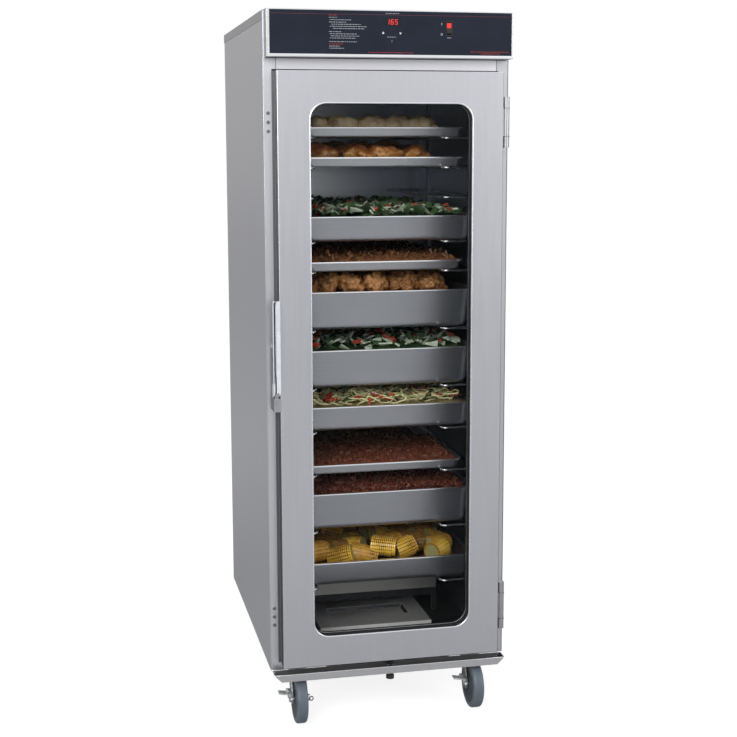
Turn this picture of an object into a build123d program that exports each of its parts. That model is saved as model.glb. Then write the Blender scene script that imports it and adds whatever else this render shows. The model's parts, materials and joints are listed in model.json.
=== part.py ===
from build123d import *
import os

os.makedirs("parts", exist_ok=True)

# Sizes are millimetres. X runs across the cabinet, the door faces -Y, and Z = 0 is the floor.
# Names ending in _height, _bottom and _top that belong to the body count from the body's underside.

# Outer body
body_width = 621.0
body_depth = 795.0
body_height = 1662.0
ground_clearance = 150.0
sheet = 1.2
pillar_width = 31.3
rear_flange = 20.0
cap_flange = 22.6
base_thickness = 2.0

# Heated cavity
jamb_lip = 10.0
sill_height = 36.8
floor_height = 24.0
ceiling_height = 1500.0
cavity_depth = 763.0
batt_gap = 0.3
top_batt = 28.0

# Door and its glazing
door_side_margin = 26.5
door_bottom = 19.3
door_top = 1517.0
door_reach = 48.0
seal_thickness = 6.0
seal_width = 14.0
seal_inset = 1.0
seal_gap = 0.3
window_stile = 79.0
window_bottom = 96.0
window_top = 1440.0
window_corner = 41.0
window_lip = 10.0
glass_thickness = 4.0
glass_margin = 12.0

# Hood with the controls
hood_inset = 2.0
hood_bottom = 1549.0
hood_reach = 47.5
panel_left = 7.5
panel_right = 5.0
panel_over = 3.0
panel_under = 7.0
panel_thickness = 2.0
panel_bearing = 1.8
display_width = 50.0
display_height = 22.0
display_middle = 1633.8
key_radius = 4.5
key_travel = 0.8
key_proud = 0.4
key_gap = 0.15
key_seat = 0.05
key_collar = 1.6
key_collar_radius = 6.0
arrow_key_x = 21.0
arrow_key_height = 1607.0
set_key_height = 1588.0
board_width = 150.0
board_thickness = 1.6
board_setback = 14.0
post_radius = 3.0
rocker_inset = 165.5
rocker_middle = 1620.0
rocker_frame_width = 18.6
rocker_frame_height = 36.0
rocker_frame_lip = 1.6
rocker_rim = 1.6
rocker_depth = 22.0
rocker_gap = 0.3
rocker_tilt = 10.0
rocker_pivot_depth = 3.0
rocker_crown = 4.0
rocker_tip = 5.6
rocker_back = 2.0
rocker_keel = 4.5
rocker_end_gap = 1.8
pivot_radius = 1.3
running_gap = 0.05

# Hinges
hinge_length = 125.0
hinge_middle = 69.0
hinge_heights = (143.0, 1394.0)
knuckle_radius = 8.0
knuckle_gap = 0.4
pin_radius = 4.0
pin_inset = 8.5
leaf_thickness = 3.0
leaf_width = 18.0
door_leaf_thickness = 1.6
door_leaf_margin = 2.0
screw_pitch = 22.0
screw_inset = 11.0
screw_radius = 2.5
screw_head = 4.4
screw_head_height = 2.4
screw_length = 9.0
screw_gap = 0.1

# Latch on the door's left edge
latch_width = 18.0
latch_bottom = 686.0
latch_block_top = 720.0
latch_top = 845.0
latch_block_reach = 56.0
latch_body_reach = 27.5
lever_pivot_height = 740.0
lever_pivot_reach = 44.0
lever_top = 961.0
lever_width = 17.0
lever_gap = 0.4
lever_wall = 3.0
lever_face = 11.0
lever_flare_top = 782.0
hub_radius = 16.0
tongue_radius = 10.0
tongue_width = 8.0
tongue_gap = 0.3
tongue_neck = 3.0
fork_slot_gap = 2.0
latch_pin_radius = 2.5
magnet_width = 11.0
magnet_height = 76.0
magnet_depth = 10.0
magnet_gap = 0.1
strike_inset = 3.5
strike_width = 20.0
strike_bottom = 685.0
strike_top = 841.0

# Rack
level_pitch = 38.1
first_level = 176.1
slide_levels = (0, 4, 8, 11, 14, 18, 22, 24, 27, 29, 31)
wire_radius = 3.0
slide_front = 92.0
slide_depth = 650.0
slide_span = 110.0
slide_corner = 14.0
post_face_gap = 0.4
upright_depth = 8.0
upright_width = 24.0
upright_fronts = (140.0, 640.0)
upright_bottom = 40.0
slot_length = 9.0
slot_gap = 0.4

# Pans: gap to the cavity's side, length front to back, height
sheet_pan_gap = 49.5
sheet_pan_length = 660.0
sheet_pan_height = 25.4
food_pan_gap = 14.5
food_pan_length = 325.0
deep_pan_height = 100.0
shallow_pan_height = 65.0
pan_wall = 0.9
sheet_pan_taper = 12.0
food_pan_taper = 5.0
sheet_pan_rim = 5.0
food_pan_rim = 11.0
pan_corner = 26.0
rim_thickness = 2.4
pan_front = 98.0
pan_spacing = 1.0
sheet_levels = (8, 22, 29, 31)
shallow_levels = (0, 11, 24)
deep_levels = (4, 14, 18)
food_clearance = 1.5
tray_food_height = 34.0
bowl_food_rise = 6.0
food_crown = 8.0

# Water pan, heater and fan in the foot of the cavity
cover_width = 308.0
cover_front = 140.0
cover_length = 340.0
cover_top = 51.0
cover_flange = 12.0
cover_sheet = 1.5
fill_width = 216.0
fill_front = 214.0
fill_length = 83.0
fill_depth = 10.0
fill_slope = 30.0
water_pan_inset = 4.0
heater_width = 420.0
heater_front = 300.0
heater_back_gap = 33.0
heater_bottom = 70.0
heater_top = 122.0
heater_leg = 12.0
grille_slots = 9
grille_slot_width = 8.0
grille_slot_length = 150.0
element_radius = 4.0
element_spread = 92.0
element_height = 96.0
element_tail = 40.0
fan_radius = 74.0
fan_height = 30.0
fan_blades = 18
blade_length = 22.0
fan_from_front = 575.0
fan_gap = 3.0
motor_radius = 38.0
motor_height = 40.0
shaft_radius = 4.0

# Drip trough
trough_inset = 3.5
trough_reach = 38.3
trough_height = 19.2
trough_drop = 1.3
trough_tongue_width = 330.0
trough_tongue_depth = 24.0
clip_width = 30.0
clip_x = 130.0
tab_width = 20.0
tab_reach = 31.0
stud_reach = 20.0
stud_radius = 3.0
stud_collar = 5.5
knob_radius = 10.5
knob_height = 10.0

# Casters
wheel_radius = 63.5
wheel_width = 32.0
tread_depth = 13.0
tread_round = 7.0
hub_width = 34.4
hub_core = 15.0
caster_trail = 38.0
caster_inset = 75.5
front_caster = 50.0
rear_caster = 735.0
plate_length = 95.0
plate_width = 70.0
plate_thickness = 3.5
plate_corner = 6.0
bolt_radius = 4.0
bolt_across = 13.0
bolt_head_height = 3.4
bolt_spread_x = 75.0
bolt_spread_y = 45.0
race_radius = 24.0
race_height = 3.0
race_gap = 0.3
crown_radius = 30.0
crown_thickness = 6.0
kingpin_radius = 6.0
kingpin_head = 10.0
leg_thickness = 3.0
leg_gap = 0.8
leg_top_inset = 8.0
leg_rear_drop = 4.0
axle_radius = 5.0
axle_boss = 13.0
nut_across = 15.0
nut_height = 6.0
pedal_length = 26.0
pedal_width = 24.0
pedal_thickness = 4.0
pedal_height = 16.0
pedal_ear = 6.0
ear_thickness = 5.0
ear_web = 1.5
ear_overlap = 1.0
pedal_barrel = 4.0

# Mains inlet on the back
inlet_width = 60.0
inlet_height = 46.0
inlet_depth = 24.0
inlet_wall = 2.5
inlet_middle = 120.0
inlet_inset = 110.5
contact_radius = 2.4
contact_spots = ((-12.0, -5.0), (12.0, -5.0), (0.0, 9.0))

# Planes and limits that follow from the sizes above
half_width = body_width / 2
front_reach = lever_pivot_reach + hub_radius
front_y = -(body_depth + sheet - front_reach) / 2
back_y = front_y + body_depth
body_z = ground_clearance
top_z = body_z + body_height
liner_outer = half_width - pillar_width
liner_inner = liner_outer - sheet
door_width = body_width - 2 * door_side_margin
window_width = door_width - 2 * window_stile
hood_width = body_width - 2 * hood_inset
trough_width = body_width - 2 * trough_inset
rocker_x = half_width - hood_inset - rocker_inset
slide_inner_x = liner_inner - slide_span
caster_x = half_width - caster_inset
inlet_x = inlet_inset - half_width
heater_length = cavity_depth - heater_front - heater_back_gap
sheet_pan_width = 2 * (liner_inner - sheet_pan_gap)
food_pan_width = 2 * (liner_inner - food_pan_gap)
sheet_pan = (sheet_pan_width, sheet_pan_length, sheet_pan_height)
deep_pan = (food_pan_width, food_pan_length, deep_pan_height)
shallow_pan = (food_pan_width, food_pan_length, shallow_pan_height)
floor_z = body_z + floor_height
ceiling_z = body_z + ceiling_height
cavity_back = front_y + cavity_depth
door_front = front_y - door_reach
door_half = door_width / 2
door_back = front_y - seal_gap - seal_thickness
door_z = (body_z + door_bottom, body_z + door_top)
window_middle = body_z + (window_bottom + window_top) / 2
window_height = window_top - window_bottom
hood_front = front_y - hood_reach
hood_z = body_z + hood_bottom
pin_x = door_half + door_leaf_thickness + knuckle_gap + knuckle_radius
pin_y = door_front + pin_inset


def save(piece, name):
    piece.part.label = name
    export_step(piece.part, f"parts/{name}.step")


# A plane at Y = y that looks to the front, so an extrusion grows towards the door
def facing(y):
    return Plane.XZ.offset(-y)


# A box between two limits on each axis, in the part being built
def slab(x, y, z, mode=Mode.ADD):
    middle = ((x[0] + x[1]) / 2, (y[0] + y[1]) / 2, (z[0] + z[1]) / 2)
    with Locations(middle):
        Box(abs(x[1] - x[0]), abs(y[1] - y[0]), abs(z[1] - z[0]), mode=mode)


# A round bar along an axis of the part being built
def bar(start, radius, length, turn=(0, 0, 0), mode=Mode.ADD):
    with Locations(Location(start, turn)):
        Cylinder(radius, length, align=(Align.CENTER, Align.CENTER, Align.MIN), mode=mode)


along_x = (0, 90, 0)
along_front = (90, 0, 0)

screw_x = half_width - screw_inset
screw_heights = [h + step for h in hinge_heights for step in (-screw_pitch, 0, screw_pitch)]


# Outer body: side panels with the front pillar and rear flange folded in, back, cover and base
def side_panel(side):
    wall = (side * (half_width - sheet), side * half_width)
    pillar = (side * liner_outer, side * half_width)
    rear = (side * (half_width - rear_flange), side * half_width)
    height = (body_z, top_z - sheet)
    with BuildPart() as panel:
        slab(wall, (front_y, back_y - sheet), height)
        slab(pillar, (front_y, front_y + sheet), height)
        slab(rear, (back_y - 2 * sheet, back_y - sheet), height)
        for screw in screw_heights:
            start = (side * screw_x, front_y + 2 * sheet, body_z + screw)
            bar(start, screw_radius + screw_gap, 3 * sheet, along_front, Mode.SUBTRACT)
    return panel


side_panel_left = side_panel(-1)
save(side_panel_left, "side_panel_left")
side_panel_right = side_panel(1)
save(side_panel_right, "side_panel_right")

inlet_z = body_z + inlet_middle
with BuildPart() as back_panel:
    slab((-half_width, half_width), (back_y - sheet, back_y), (body_z, top_z - sheet))
    slab(
        (inlet_x - inlet_width / 2, inlet_x + inlet_width / 2),
        (back_y - 2 * sheet, back_y + sheet),
        (inlet_z - inlet_height / 2, inlet_z + inlet_height / 2),
        Mode.SUBTRACT,
    )
save(back_panel, "back_panel")

with BuildPart() as top_cover:
    slab((-half_width - sheet, half_width + sheet), (front_y, back_y + sheet), (top_z - sheet, top_z))
    for side in (-1, 1):
        flange = (side * half_width, side * (half_width + sheet))
        slab(flange, (front_y, back_y + sheet), (top_z - cap_flange, top_z))
    slab((-half_width, half_width), (back_y, back_y + sheet), (top_z - cap_flange, top_z))
save(top_cover, "top_cover")

clip_drop = trough_drop + sheet + seal_gap
inner_side = half_width - sheet
with BuildPart() as base_pan:
    slab(
        (-inner_side, inner_side),
        (front_y + sheet, back_y - 2 * sheet),
        (body_z, body_z + base_thickness),
    )
    slab((-liner_outer, liner_outer), (front_y, front_y + sheet), (body_z, body_z + sill_height))
    slab(
        (-liner_inner, liner_inner),
        (front_y, front_y + jamb_lip),
        (body_z + sill_height - sheet, body_z + sill_height),
    )
    for side in (-1, 1):
        clip = (side * clip_x - clip_width / 2, side * clip_x + clip_width / 2)
        hang_y = front_y + trough_tongue_depth + 2 * sheet
        slab(clip, (hang_y, hang_y + sheet), (body_z - clip_drop - sheet, body_z))
        slab(clip, (front_y + 2 * sheet, hang_y), (body_z - clip_drop - sheet, body_z - clip_drop))
    with BuildSketch(Plane.XY.offset(body_z)):
        with Locations((0, front_y - tab_reach / 2)):
            Rectangle(tab_width, tab_reach)
        with Locations((0, front_y - (tab_reach + stud_reach - stud_radius) / 2)):
            Rectangle(
                2 * (stud_radius + slot_gap), tab_reach - stud_reach + stud_radius, mode=Mode.SUBTRACT
            )
        with Locations((0, front_y - stud_reach + stud_radius)):
            Circle(stud_radius + slot_gap, mode=Mode.SUBTRACT)
    extrude(amount=base_thickness)
save(base_pan, "base_pan")

with BuildPart() as front_header:
    slab((-liner_outer, liner_outer), (front_y, front_y + sheet), (ceiling_z, top_z - sheet))
    slab(
        (-liner_outer, liner_outer),
        (front_y + sheet, front_y + jamb_lip),
        (ceiling_z + sheet, ceiling_z + 2 * sheet),
    )
save(front_header, "front_header")


# Cavity liner: side walls with a jamb lip, back, ceiling and a floor set below the sill
def liner_side(side):
    with BuildPart() as liner:
        height = (floor_z, ceiling_z)
        slab((side * liner_inner, side * liner_outer), (front_y + sheet, cavity_back), height)
        jamb = (side * (liner_inner - jamb_lip), side * liner_outer)
        slab(jamb, (front_y, front_y + sheet), (body_z + sill_height, ceiling_z))
    return liner


liner_left = liner_side(-1)
save(liner_left, "liner_left")
liner_right = liner_side(1)
save(liner_right, "liner_right")

with BuildPart() as liner_back:
    slab((-liner_outer, liner_outer), (cavity_back, cavity_back + sheet), (floor_z, ceiling_z))
save(liner_back, "liner_back")

with BuildPart() as liner_top:
    slab(
        (-liner_outer, liner_outer),
        (front_y + sheet, cavity_back + sheet),
        (ceiling_z, ceiling_z + sheet),
    )
save(liner_top, "liner_top")

with BuildPart() as liner_floor:
    slab(
        (-liner_outer, liner_outer),
        (front_y + sheet, cavity_back + sheet),
        (floor_z - sheet, floor_z),
    )
save(liner_floor, "liner_floor")

# Mineral wool batts between the liner and the outer sheets
with BuildPart() as insulation:
    wool_top = ceiling_z + 2 * sheet + batt_gap + top_batt
    wool_bottom = body_z + base_thickness + batt_gap
    side_batt = (liner_outer + batt_gap, inner_side - batt_gap)
    side_depth = (front_y + screw_length + batt_gap, back_y - 2 * sheet - batt_gap)
    for side in (-1, 1):
        slab((side * side_batt[0], side * side_batt[1]), side_depth, (wool_bottom, wool_top))
    across = (-liner_outer + batt_gap, liner_outer - batt_gap)
    slab(
        across,
        (cavity_back + sheet + batt_gap, back_y - sheet - batt_gap),
        (floor_z - sheet, ceiling_z),
    )
    ceiling_batt = ceiling_z + 2 * sheet + batt_gap
    slab(across, (front_y + sheet + batt_gap, back_y - sheet - batt_gap), (ceiling_batt, wool_top))
    floor_batt = (wool_bottom, floor_z - sheet - batt_gap)
    slab(across, (front_y + sheet + batt_gap, cavity_back + sheet), floor_batt)
    slab(
        (inlet_x - inlet_width / 2 - batt_gap, inlet_x + inlet_width / 2 + batt_gap),
        (back_y - inlet_depth - batt_gap, back_y),
        (inlet_z - inlet_height / 2 - batt_gap, inlet_z + inlet_height / 2 + batt_gap),
        Mode.SUBTRACT,
    )
save(insulation, "insulation")

# Hood box, the dark control panel behind its frame, and what the panel carries
hood_half = hood_width / 2
panel_x = (panel_left - hood_half, hood_half - panel_right)
panel_z = (hood_z + panel_under, top_z - panel_over)
with BuildPart() as hood_bezel:
    slab((-hood_half, hood_half), (hood_front, front_y), (hood_z, top_z))
    slab(
        (sheet - hood_half, hood_half - sheet),
        (hood_front + sheet, front_y),
        (hood_z + sheet, top_z - sheet),
        Mode.SUBTRACT,
    )
    slab(panel_x, (hood_front, hood_front + sheet), panel_z, Mode.SUBTRACT)
save(hood_bezel, "hood_bezel")

panel_front = hood_front + sheet
panel_back = panel_front + panel_thickness
keys = {
    "up_key": (-arrow_key_x, body_z + arrow_key_height),
    "down_key": (arrow_key_x, body_z + arrow_key_height),
    "set_key": (0, body_z + set_key_height),
}
display_z = body_z + display_middle
rocker_z = body_z + rocker_middle
rocker_body_width = rocker_frame_width - 2 * rocker_rim
rocker_body_height = rocker_frame_height - 2 * rocker_rim
with BuildPart() as control_overlay:
    slab(
        (panel_x[0] - panel_bearing, panel_x[1] + panel_bearing),
        (panel_front, panel_back),
        (panel_z[0] - panel_bearing, panel_z[1] + panel_bearing),
    )
    with BuildSketch(facing(panel_back)):
        with Locations((0, display_z)):
            Rectangle(display_width, display_height)
        with Locations((rocker_x, rocker_z)):
            Rectangle(rocker_body_width, rocker_body_height)
        with Locations(*keys.values()):
            Circle(key_radius + key_gap)
    extrude(amount=panel_thickness, mode=Mode.SUBTRACT)
save(control_overlay, "control_overlay")

with BuildPart() as display_window:
    with BuildSketch(facing(panel_back)):
        with Locations((0, display_z)):
            Rectangle(display_width, display_height)
    extrude(amount=panel_thickness)
save(display_window, "display_window")

board_y = panel_back + board_setback
board_low = body_z + set_key_height - 3 * key_radius
board_high = display_z + display_height / 2 + key_radius
switch_front = panel_back + key_collar + key_travel + key_gap
with BuildPart() as controller_board:
    slab((-board_width / 2, board_width / 2), (board_y, board_y + board_thickness), (board_low, board_high))
    slab(
        (-display_width / 2 + sheet, display_width / 2 - sheet),
        (panel_back, board_y),
        (display_z - display_height / 2 + sheet, display_z + display_height / 2 - sheet),
    )
    for place in keys.values():
        bar((place[0], board_y, place[1]), key_radius - 1, board_y - switch_front, along_front)
    post_x = board_width / 2 - 2 * post_radius
    for x in (-post_x, post_x):
        for z in (board_low + 2 * post_radius, board_high - 2 * post_radius):
            bar((x, board_y, z), post_radius, board_y - panel_back, along_front)
    relay = (board_y + board_thickness, board_y + board_thickness + board_setback)
    slab((-post_x, -post_x + 3 * key_radius), relay, (board_low + sheet, board_high - sheet))
    slab((post_x - 5 * key_radius, post_x), relay, (board_low + sheet, display_z))
save(controller_board, "controller_board")

for name, place in keys.items():
    with BuildPart() as key:
        cap_back = panel_back + key_seat
        bar((place[0], cap_back, place[1]), key_radius, cap_back - panel_front + key_proud, along_front)
        bar((place[0], cap_back + key_collar, place[1]), key_collar_radius, key_collar, along_front)
    save(key, name)

rocker_inner = (rocker_body_width - 2 * rocker_rim, rocker_body_height - 2 * rocker_rim)
pivot_y = panel_front + rocker_pivot_depth
with BuildPart() as rocker_housing:
    with BuildSketch(facing(panel_front)):
        with Locations((rocker_x, rocker_z)):
            Rectangle(rocker_frame_width, rocker_frame_height)
            Rectangle(*rocker_inner, mode=Mode.SUBTRACT)
    extrude(amount=rocker_frame_lip)
    housing_back = panel_front + rocker_depth
    with BuildSketch(facing(housing_back)):
        with Locations((rocker_x, rocker_z)):
            Rectangle(rocker_body_width, rocker_body_height)
    extrude(amount=rocker_depth)
    with BuildSketch(facing(housing_back - rocker_rim)):
        with Locations((rocker_x, rocker_z)):
            Rectangle(*rocker_inner)
    extrude(amount=rocker_depth, mode=Mode.SUBTRACT)
    bar(
        (rocker_x - rocker_body_width / 2, pivot_y, rocker_z),
        pivot_radius + running_gap,
        rocker_body_width,
        along_x,
        Mode.SUBTRACT,
    )
save(rocker_housing, "rocker_housing")

# The rocker's two faces meet over the pivot. It rests tilted, with its upper half pressed in.
rocker_half = rocker_inner[1] / 2 - rocker_end_gap
with BuildPart() as power_rocker:
    with BuildSketch(Plane.YZ.offset(rocker_x - rocker_inner[0] / 2 + rocker_gap)):
        with BuildLine():
            Polyline(
                (pivot_y - rocker_crown, rocker_z),
                (pivot_y - rocker_tip, rocker_z + rocker_half),
                (pivot_y + rocker_back, rocker_z + rocker_half),
                (pivot_y + rocker_keel, rocker_z),
                (pivot_y + rocker_back, rocker_z - rocker_half),
                (pivot_y - rocker_tip, rocker_z - rocker_half),
                close=True,
            )
        make_face()
    extrude(amount=rocker_inner[0] - 2 * rocker_gap)
    bar(
        (rocker_x - rocker_body_width / 2, pivot_y, rocker_z),
        pivot_radius,
        rocker_body_width,
        along_x,
    )
rocker_axis = Axis((rocker_x, pivot_y, rocker_z), (1, 0, 0))
power_rocker.part = power_rocker.part.rotate(rocker_axis, -rocker_tilt)
save(power_rocker, "power_rocker")


# Door: folded outer and inner frames around two panes, with a spacer gasket and a seal
def window_shape(grow):
    with Locations((0, window_middle)):
        RectangleRounded(window_width + 2 * grow, window_height + 2 * grow, window_corner + grow)


def door_shell(front, back, wall_at, inset):
    limits = (inset - door_half, door_half - inset)
    rise = (door_z[0] + inset, door_z[1] - inset)
    slab(limits, (front, back), rise)
    hollow = (limits[0] + sheet, limits[1] - sheet)
    hollow_rise = (rise[0] + sheet, rise[1] - sheet)
    if wall_at == "front":
        slab(hollow, (front + sheet, back), hollow_rise, Mode.SUBTRACT)
    else:
        slab(hollow, (front, back - sheet), hollow_rise, Mode.SUBTRACT)


outer_pane = door_front + window_lip
inner_pane = door_back - window_lip
with BuildPart() as door_outer_frame:
    door_shell(door_front, door_back - sheet, "front", 0)
    with BuildSketch(facing(outer_pane)):
        window_shape(sheet)
    extrude(amount=window_lip)
    with BuildSketch(facing(outer_pane)):
        window_shape(0)
    extrude(amount=window_lip, mode=Mode.SUBTRACT)
save(door_outer_frame, "door_outer_frame")

with BuildPart() as door_inner_frame:
    slab((-door_half, door_half), (door_back - sheet, door_back), door_z)
    fold = (door_half - 2 * sheet, door_half - sheet)
    fold_depth = (inner_pane, door_back - sheet)
    for side in (-1, 1):
        slab((side * fold[0], side * fold[1]), fold_depth, (door_z[0] + sheet, door_z[1] - sheet))
    with BuildSketch(facing(door_back)):
        window_shape(sheet)
    extrude(amount=window_lip)
    with BuildSketch(facing(door_back)):
        window_shape(0)
    extrude(amount=window_lip, mode=Mode.SUBTRACT)
save(door_inner_frame, "door_inner_frame")

with BuildPart() as glass_panes:
    for back in (outer_pane + glass_thickness, inner_pane):
        with BuildSketch(facing(back)):
            window_shape(glass_margin)
        extrude(amount=glass_thickness)
save(glass_panes, "glass_panes")

with BuildPart() as window_gasket:
    with BuildSketch(facing(inner_pane - glass_thickness)):
        window_shape(glass_margin)
    extrude(amount=inner_pane - outer_pane - 2 * glass_thickness)
    with BuildSketch(facing(inner_pane - glass_thickness)):
        window_shape(0)
    extrude(amount=inner_pane - outer_pane - 2 * glass_thickness, mode=Mode.SUBTRACT)
save(window_gasket, "window_gasket")

seal_outer = door_half - seal_inset
seal_z = (door_z[0] + seal_inset, door_z[1] - seal_inset)
with BuildPart() as door_seal:
    slab((-seal_outer, seal_outer), (door_back, door_back + seal_thickness), seal_z)
    slab(
        (seal_width - seal_outer, seal_outer - seal_width),
        (door_back, door_back + seal_thickness),
        (seal_z[0] + seal_width, seal_z[1] - seal_width),
        Mode.SUBTRACT,
    )
save(door_seal, "door_seal")

# Hinges: the body leaf carries the two end knuckles and the pin, the door leaf the middle one
end_knuckle = (hinge_length - hinge_middle) / 2 - knuckle_gap
with BuildPart() as hinge_body_leaves:
    for height in hinge_heights:
        low = body_z + height - hinge_length / 2
        leaf_x = (pin_x - knuckle_radius, pin_x - knuckle_radius + leaf_width)
        slab(leaf_x, (front_y - leaf_thickness, front_y), (low, low + hinge_length))
        for z in (low, low + hinge_length - end_knuckle):
            with BuildSketch(Plane.XY.offset(z)):
                with Locations((pin_x, (pin_y + front_y) / 2)):
                    Rectangle(2 * knuckle_radius, front_y - pin_y)
                with Locations((pin_x, pin_y)):
                    Circle(knuckle_radius)
                    Circle(pin_radius + running_gap, mode=Mode.SUBTRACT)
            extrude(amount=end_knuckle)
        for step in (-screw_pitch, 0, screw_pitch):
            start = (screw_x, front_y, body_z + height + step)
            bar(start, screw_radius + screw_gap, leaf_thickness, along_front, Mode.SUBTRACT)
save(hinge_body_leaves, "hinge_body_leaves")

with BuildPart() as hinge_pins:
    for height in hinge_heights:
        bar((pin_x, pin_y, body_z + height - hinge_length / 2), pin_radius, hinge_length)
save(hinge_pins, "hinge_pins")

with BuildPart() as hinge_door_leaves:
    for height in hinge_heights:
        low = body_z + height - hinge_middle / 2
        leaf = (door_half, door_half + door_leaf_thickness)
        slab(leaf, (door_front + door_leaf_margin, door_back - door_leaf_margin), (low, low + hinge_middle))
        with BuildSketch(Plane.XY.offset(low)):
            with Locations(((door_half + pin_x) / 2, pin_y)):
                Rectangle(pin_x - door_half, knuckle_radius)
            with Locations((pin_x, pin_y)):
                Circle(knuckle_radius)
        extrude(amount=hinge_middle)
        bar((pin_x, pin_y, low), pin_radius + running_gap, hinge_middle, mode=Mode.SUBTRACT)
save(hinge_door_leaves, "hinge_door_leaves")

# Latch: magnet housing on the door's edge, a pull lever on its pin and the strike on the pillar
latch_x = (-door_half - latch_width, -door_half)
lever_x = (-door_half - lever_gap - lever_width, -door_half - lever_gap)
lever_middle = (lever_x[0] + lever_x[1]) / 2
lever_pivot = (front_y - lever_pivot_reach, body_z + lever_pivot_height)
latch_back = front_y - sheet - seal_gap
tongue_x = lever_middle - tongue_width / 2
with BuildPart() as latch_housing:
    latch_low = body_z + latch_bottom
    slab(latch_x, (front_y - latch_block_reach, latch_back), (latch_low, body_z + latch_block_top))
    slab(latch_x, (front_y - latch_body_reach, latch_back), (latch_low, body_z + latch_top))
    with BuildSketch(Plane.YZ.offset(tongue_x)):
        with Locations(lever_pivot):
            Circle(tongue_radius)
        foot = lever_pivot[1] - body_z - latch_block_top
        with Locations((lever_pivot[0] + tongue_neck, lever_pivot[1] - foot / 2)):
            Rectangle(2 * (tongue_radius - tongue_neck), foot)
    extrude(amount=tongue_width)
    bar(
        (tongue_x, *lever_pivot),
        latch_pin_radius + running_gap,
        tongue_width,
        along_x,
        Mode.SUBTRACT,
    )
    magnet_middle = -door_half - latch_width / 2
    magnet_x = (magnet_middle - magnet_width / 2, magnet_middle + magnet_width / 2)
    magnet_low = body_z + (latch_bottom + latch_top - magnet_height) / 2
    magnet_z = (magnet_low, magnet_low + magnet_height)
    slab(magnet_x, (latch_back - magnet_depth, latch_back), magnet_z, Mode.SUBTRACT)
    slab(
        (magnet_x[0] + magnet_gap, magnet_x[1] - magnet_gap),
        (latch_back - magnet_depth + magnet_gap, latch_back),
        (magnet_z[0] + magnet_gap, magnet_z[1] - magnet_gap),
    )
save(latch_housing, "latch_housing")

with BuildPart() as latch_pin:
    bar((lever_x[0], *lever_pivot), latch_pin_radius, lever_width, along_x)
save(latch_pin, "latch_pin")

lever_front = lever_pivot[0] - hub_radius
lever_back = lever_pivot[0]
lever_z = (lever_pivot[1] + hub_radius / 2, body_z + lever_top)
with BuildPart() as latch_lever:
    bar((lever_x[0], *lever_pivot), hub_radius, lever_width, along_x)
    slab((lever_x[1] - lever_wall, lever_x[1]), (lever_front, lever_back), lever_z)
    slab(lever_x, (lever_back - lever_wall, lever_back), lever_z)
    slab(lever_x, (lever_front, lever_back), (lever_z[1] - lever_wall, lever_z[1]))
    slab(lever_x, (lever_front, lever_back), (lever_pivot[1], lever_z[0] + lever_wall))
    with BuildSketch(facing(lever_front + lever_wall)):
        with BuildLine():
            Polyline(
                (lever_x[1], lever_z[1]),
                (lever_x[1] - lever_face, lever_z[1]),
                (lever_x[1] - lever_face, body_z + lever_flare_top),
                (lever_x[0], lever_z[0]),
                (lever_x[1], lever_z[0]),
                close=True,
            )
        make_face()
    extrude(amount=lever_wall)
    with BuildSketch(Plane.YZ.offset(tongue_x - tongue_gap)):
        with Locations(lever_pivot):
            Circle(tongue_radius + fork_slot_gap)
        with Locations((lever_pivot[0], lever_pivot[1] - hub_radius)):
            Rectangle(2 * hub_radius, 2 * hub_radius - tongue_radius - tongue_neck)
    extrude(amount=tongue_width + 2 * tongue_gap, mode=Mode.SUBTRACT)
    bar(
        (lever_x[0], *lever_pivot),
        latch_pin_radius + running_gap,
        lever_width,
        along_x,
        Mode.SUBTRACT,
    )
save(latch_lever, "latch_lever")

strike_x = (strike_inset - half_width, strike_inset + strike_width - half_width)
with BuildPart() as strike_plate:
    slab(strike_x, (front_y - sheet, front_y), (body_z + strike_bottom, body_z + strike_top))
save(strike_plate, "strike_plate")

# Rack: slotted uprights on the side walls and a pair of wire slides at each used level
upright_y = [front_y + y for y in upright_fronts]
upright_x = liner_inner - upright_depth
with BuildPart() as rack_uprights:
    upright_z = (body_z + upright_bottom, ceiling_z - upright_bottom)
    level_count = int((ceiling_height - upright_bottom - first_level) / level_pitch)
    for side in (-1, 1):
        for y in upright_y:
            across = (y - upright_width / 2, y + upright_width / 2)
            slab((side * upright_x, side * liner_inner), across, upright_z)
            hollow = (across[0] + sheet, across[1] - sheet)
            slab((side * (upright_x + sheet), side * liner_inner), hollow, upright_z, Mode.SUBTRACT)
        with BuildSketch(Plane.YZ.offset(side * (upright_x + sheet / 2))):
            for n in range(level_count + 1):
                level = body_z + first_level + n * level_pitch
                with Locations(*[(y, level) for y in upright_y]):
                    Rectangle(slot_length, 2 * (wire_radius + slot_gap))
        extrude(amount=sheet, both=True, mode=Mode.SUBTRACT)
save(rack_uprights, "rack_uprights")

slide_x = (slide_inner_x, upright_x - post_face_gap - wire_radius)
slide_y = (front_y + slide_front, front_y + slide_front + slide_depth)
with BuildPart() as slide:
    with BuildLine():
        loop = FilletPolyline(
            (slide_x[0], slide_y[0]),
            (slide_x[1], slide_y[0]),
            (slide_x[1], slide_y[1]),
            (slide_x[0], slide_y[1]),
            radius=slide_corner,
            close=True,
        )
    with BuildSketch(Plane(origin=loop @ 0, z_dir=loop % 0)):
        Circle(wire_radius)
    sweep()
    for y in upright_y:
        bar((slide_x[1], y, 0), wire_radius, upright_depth, along_x)

with BuildPart() as wire_slides:
    for n in slide_levels:
        level = body_z + first_level + n * level_pitch
        with Locations((0, 0, level)):
            add(slide.part)
            add(mirror(slide.part, about=Plane.YZ, mode=Mode.PRIVATE))
save(wire_slides, "wire_slides")


# Pans: drawn trays with a flat rim, standing on the wires of their level
def pan_floor(level):
    return body_z + first_level + level * level_pitch + wire_radius


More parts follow.
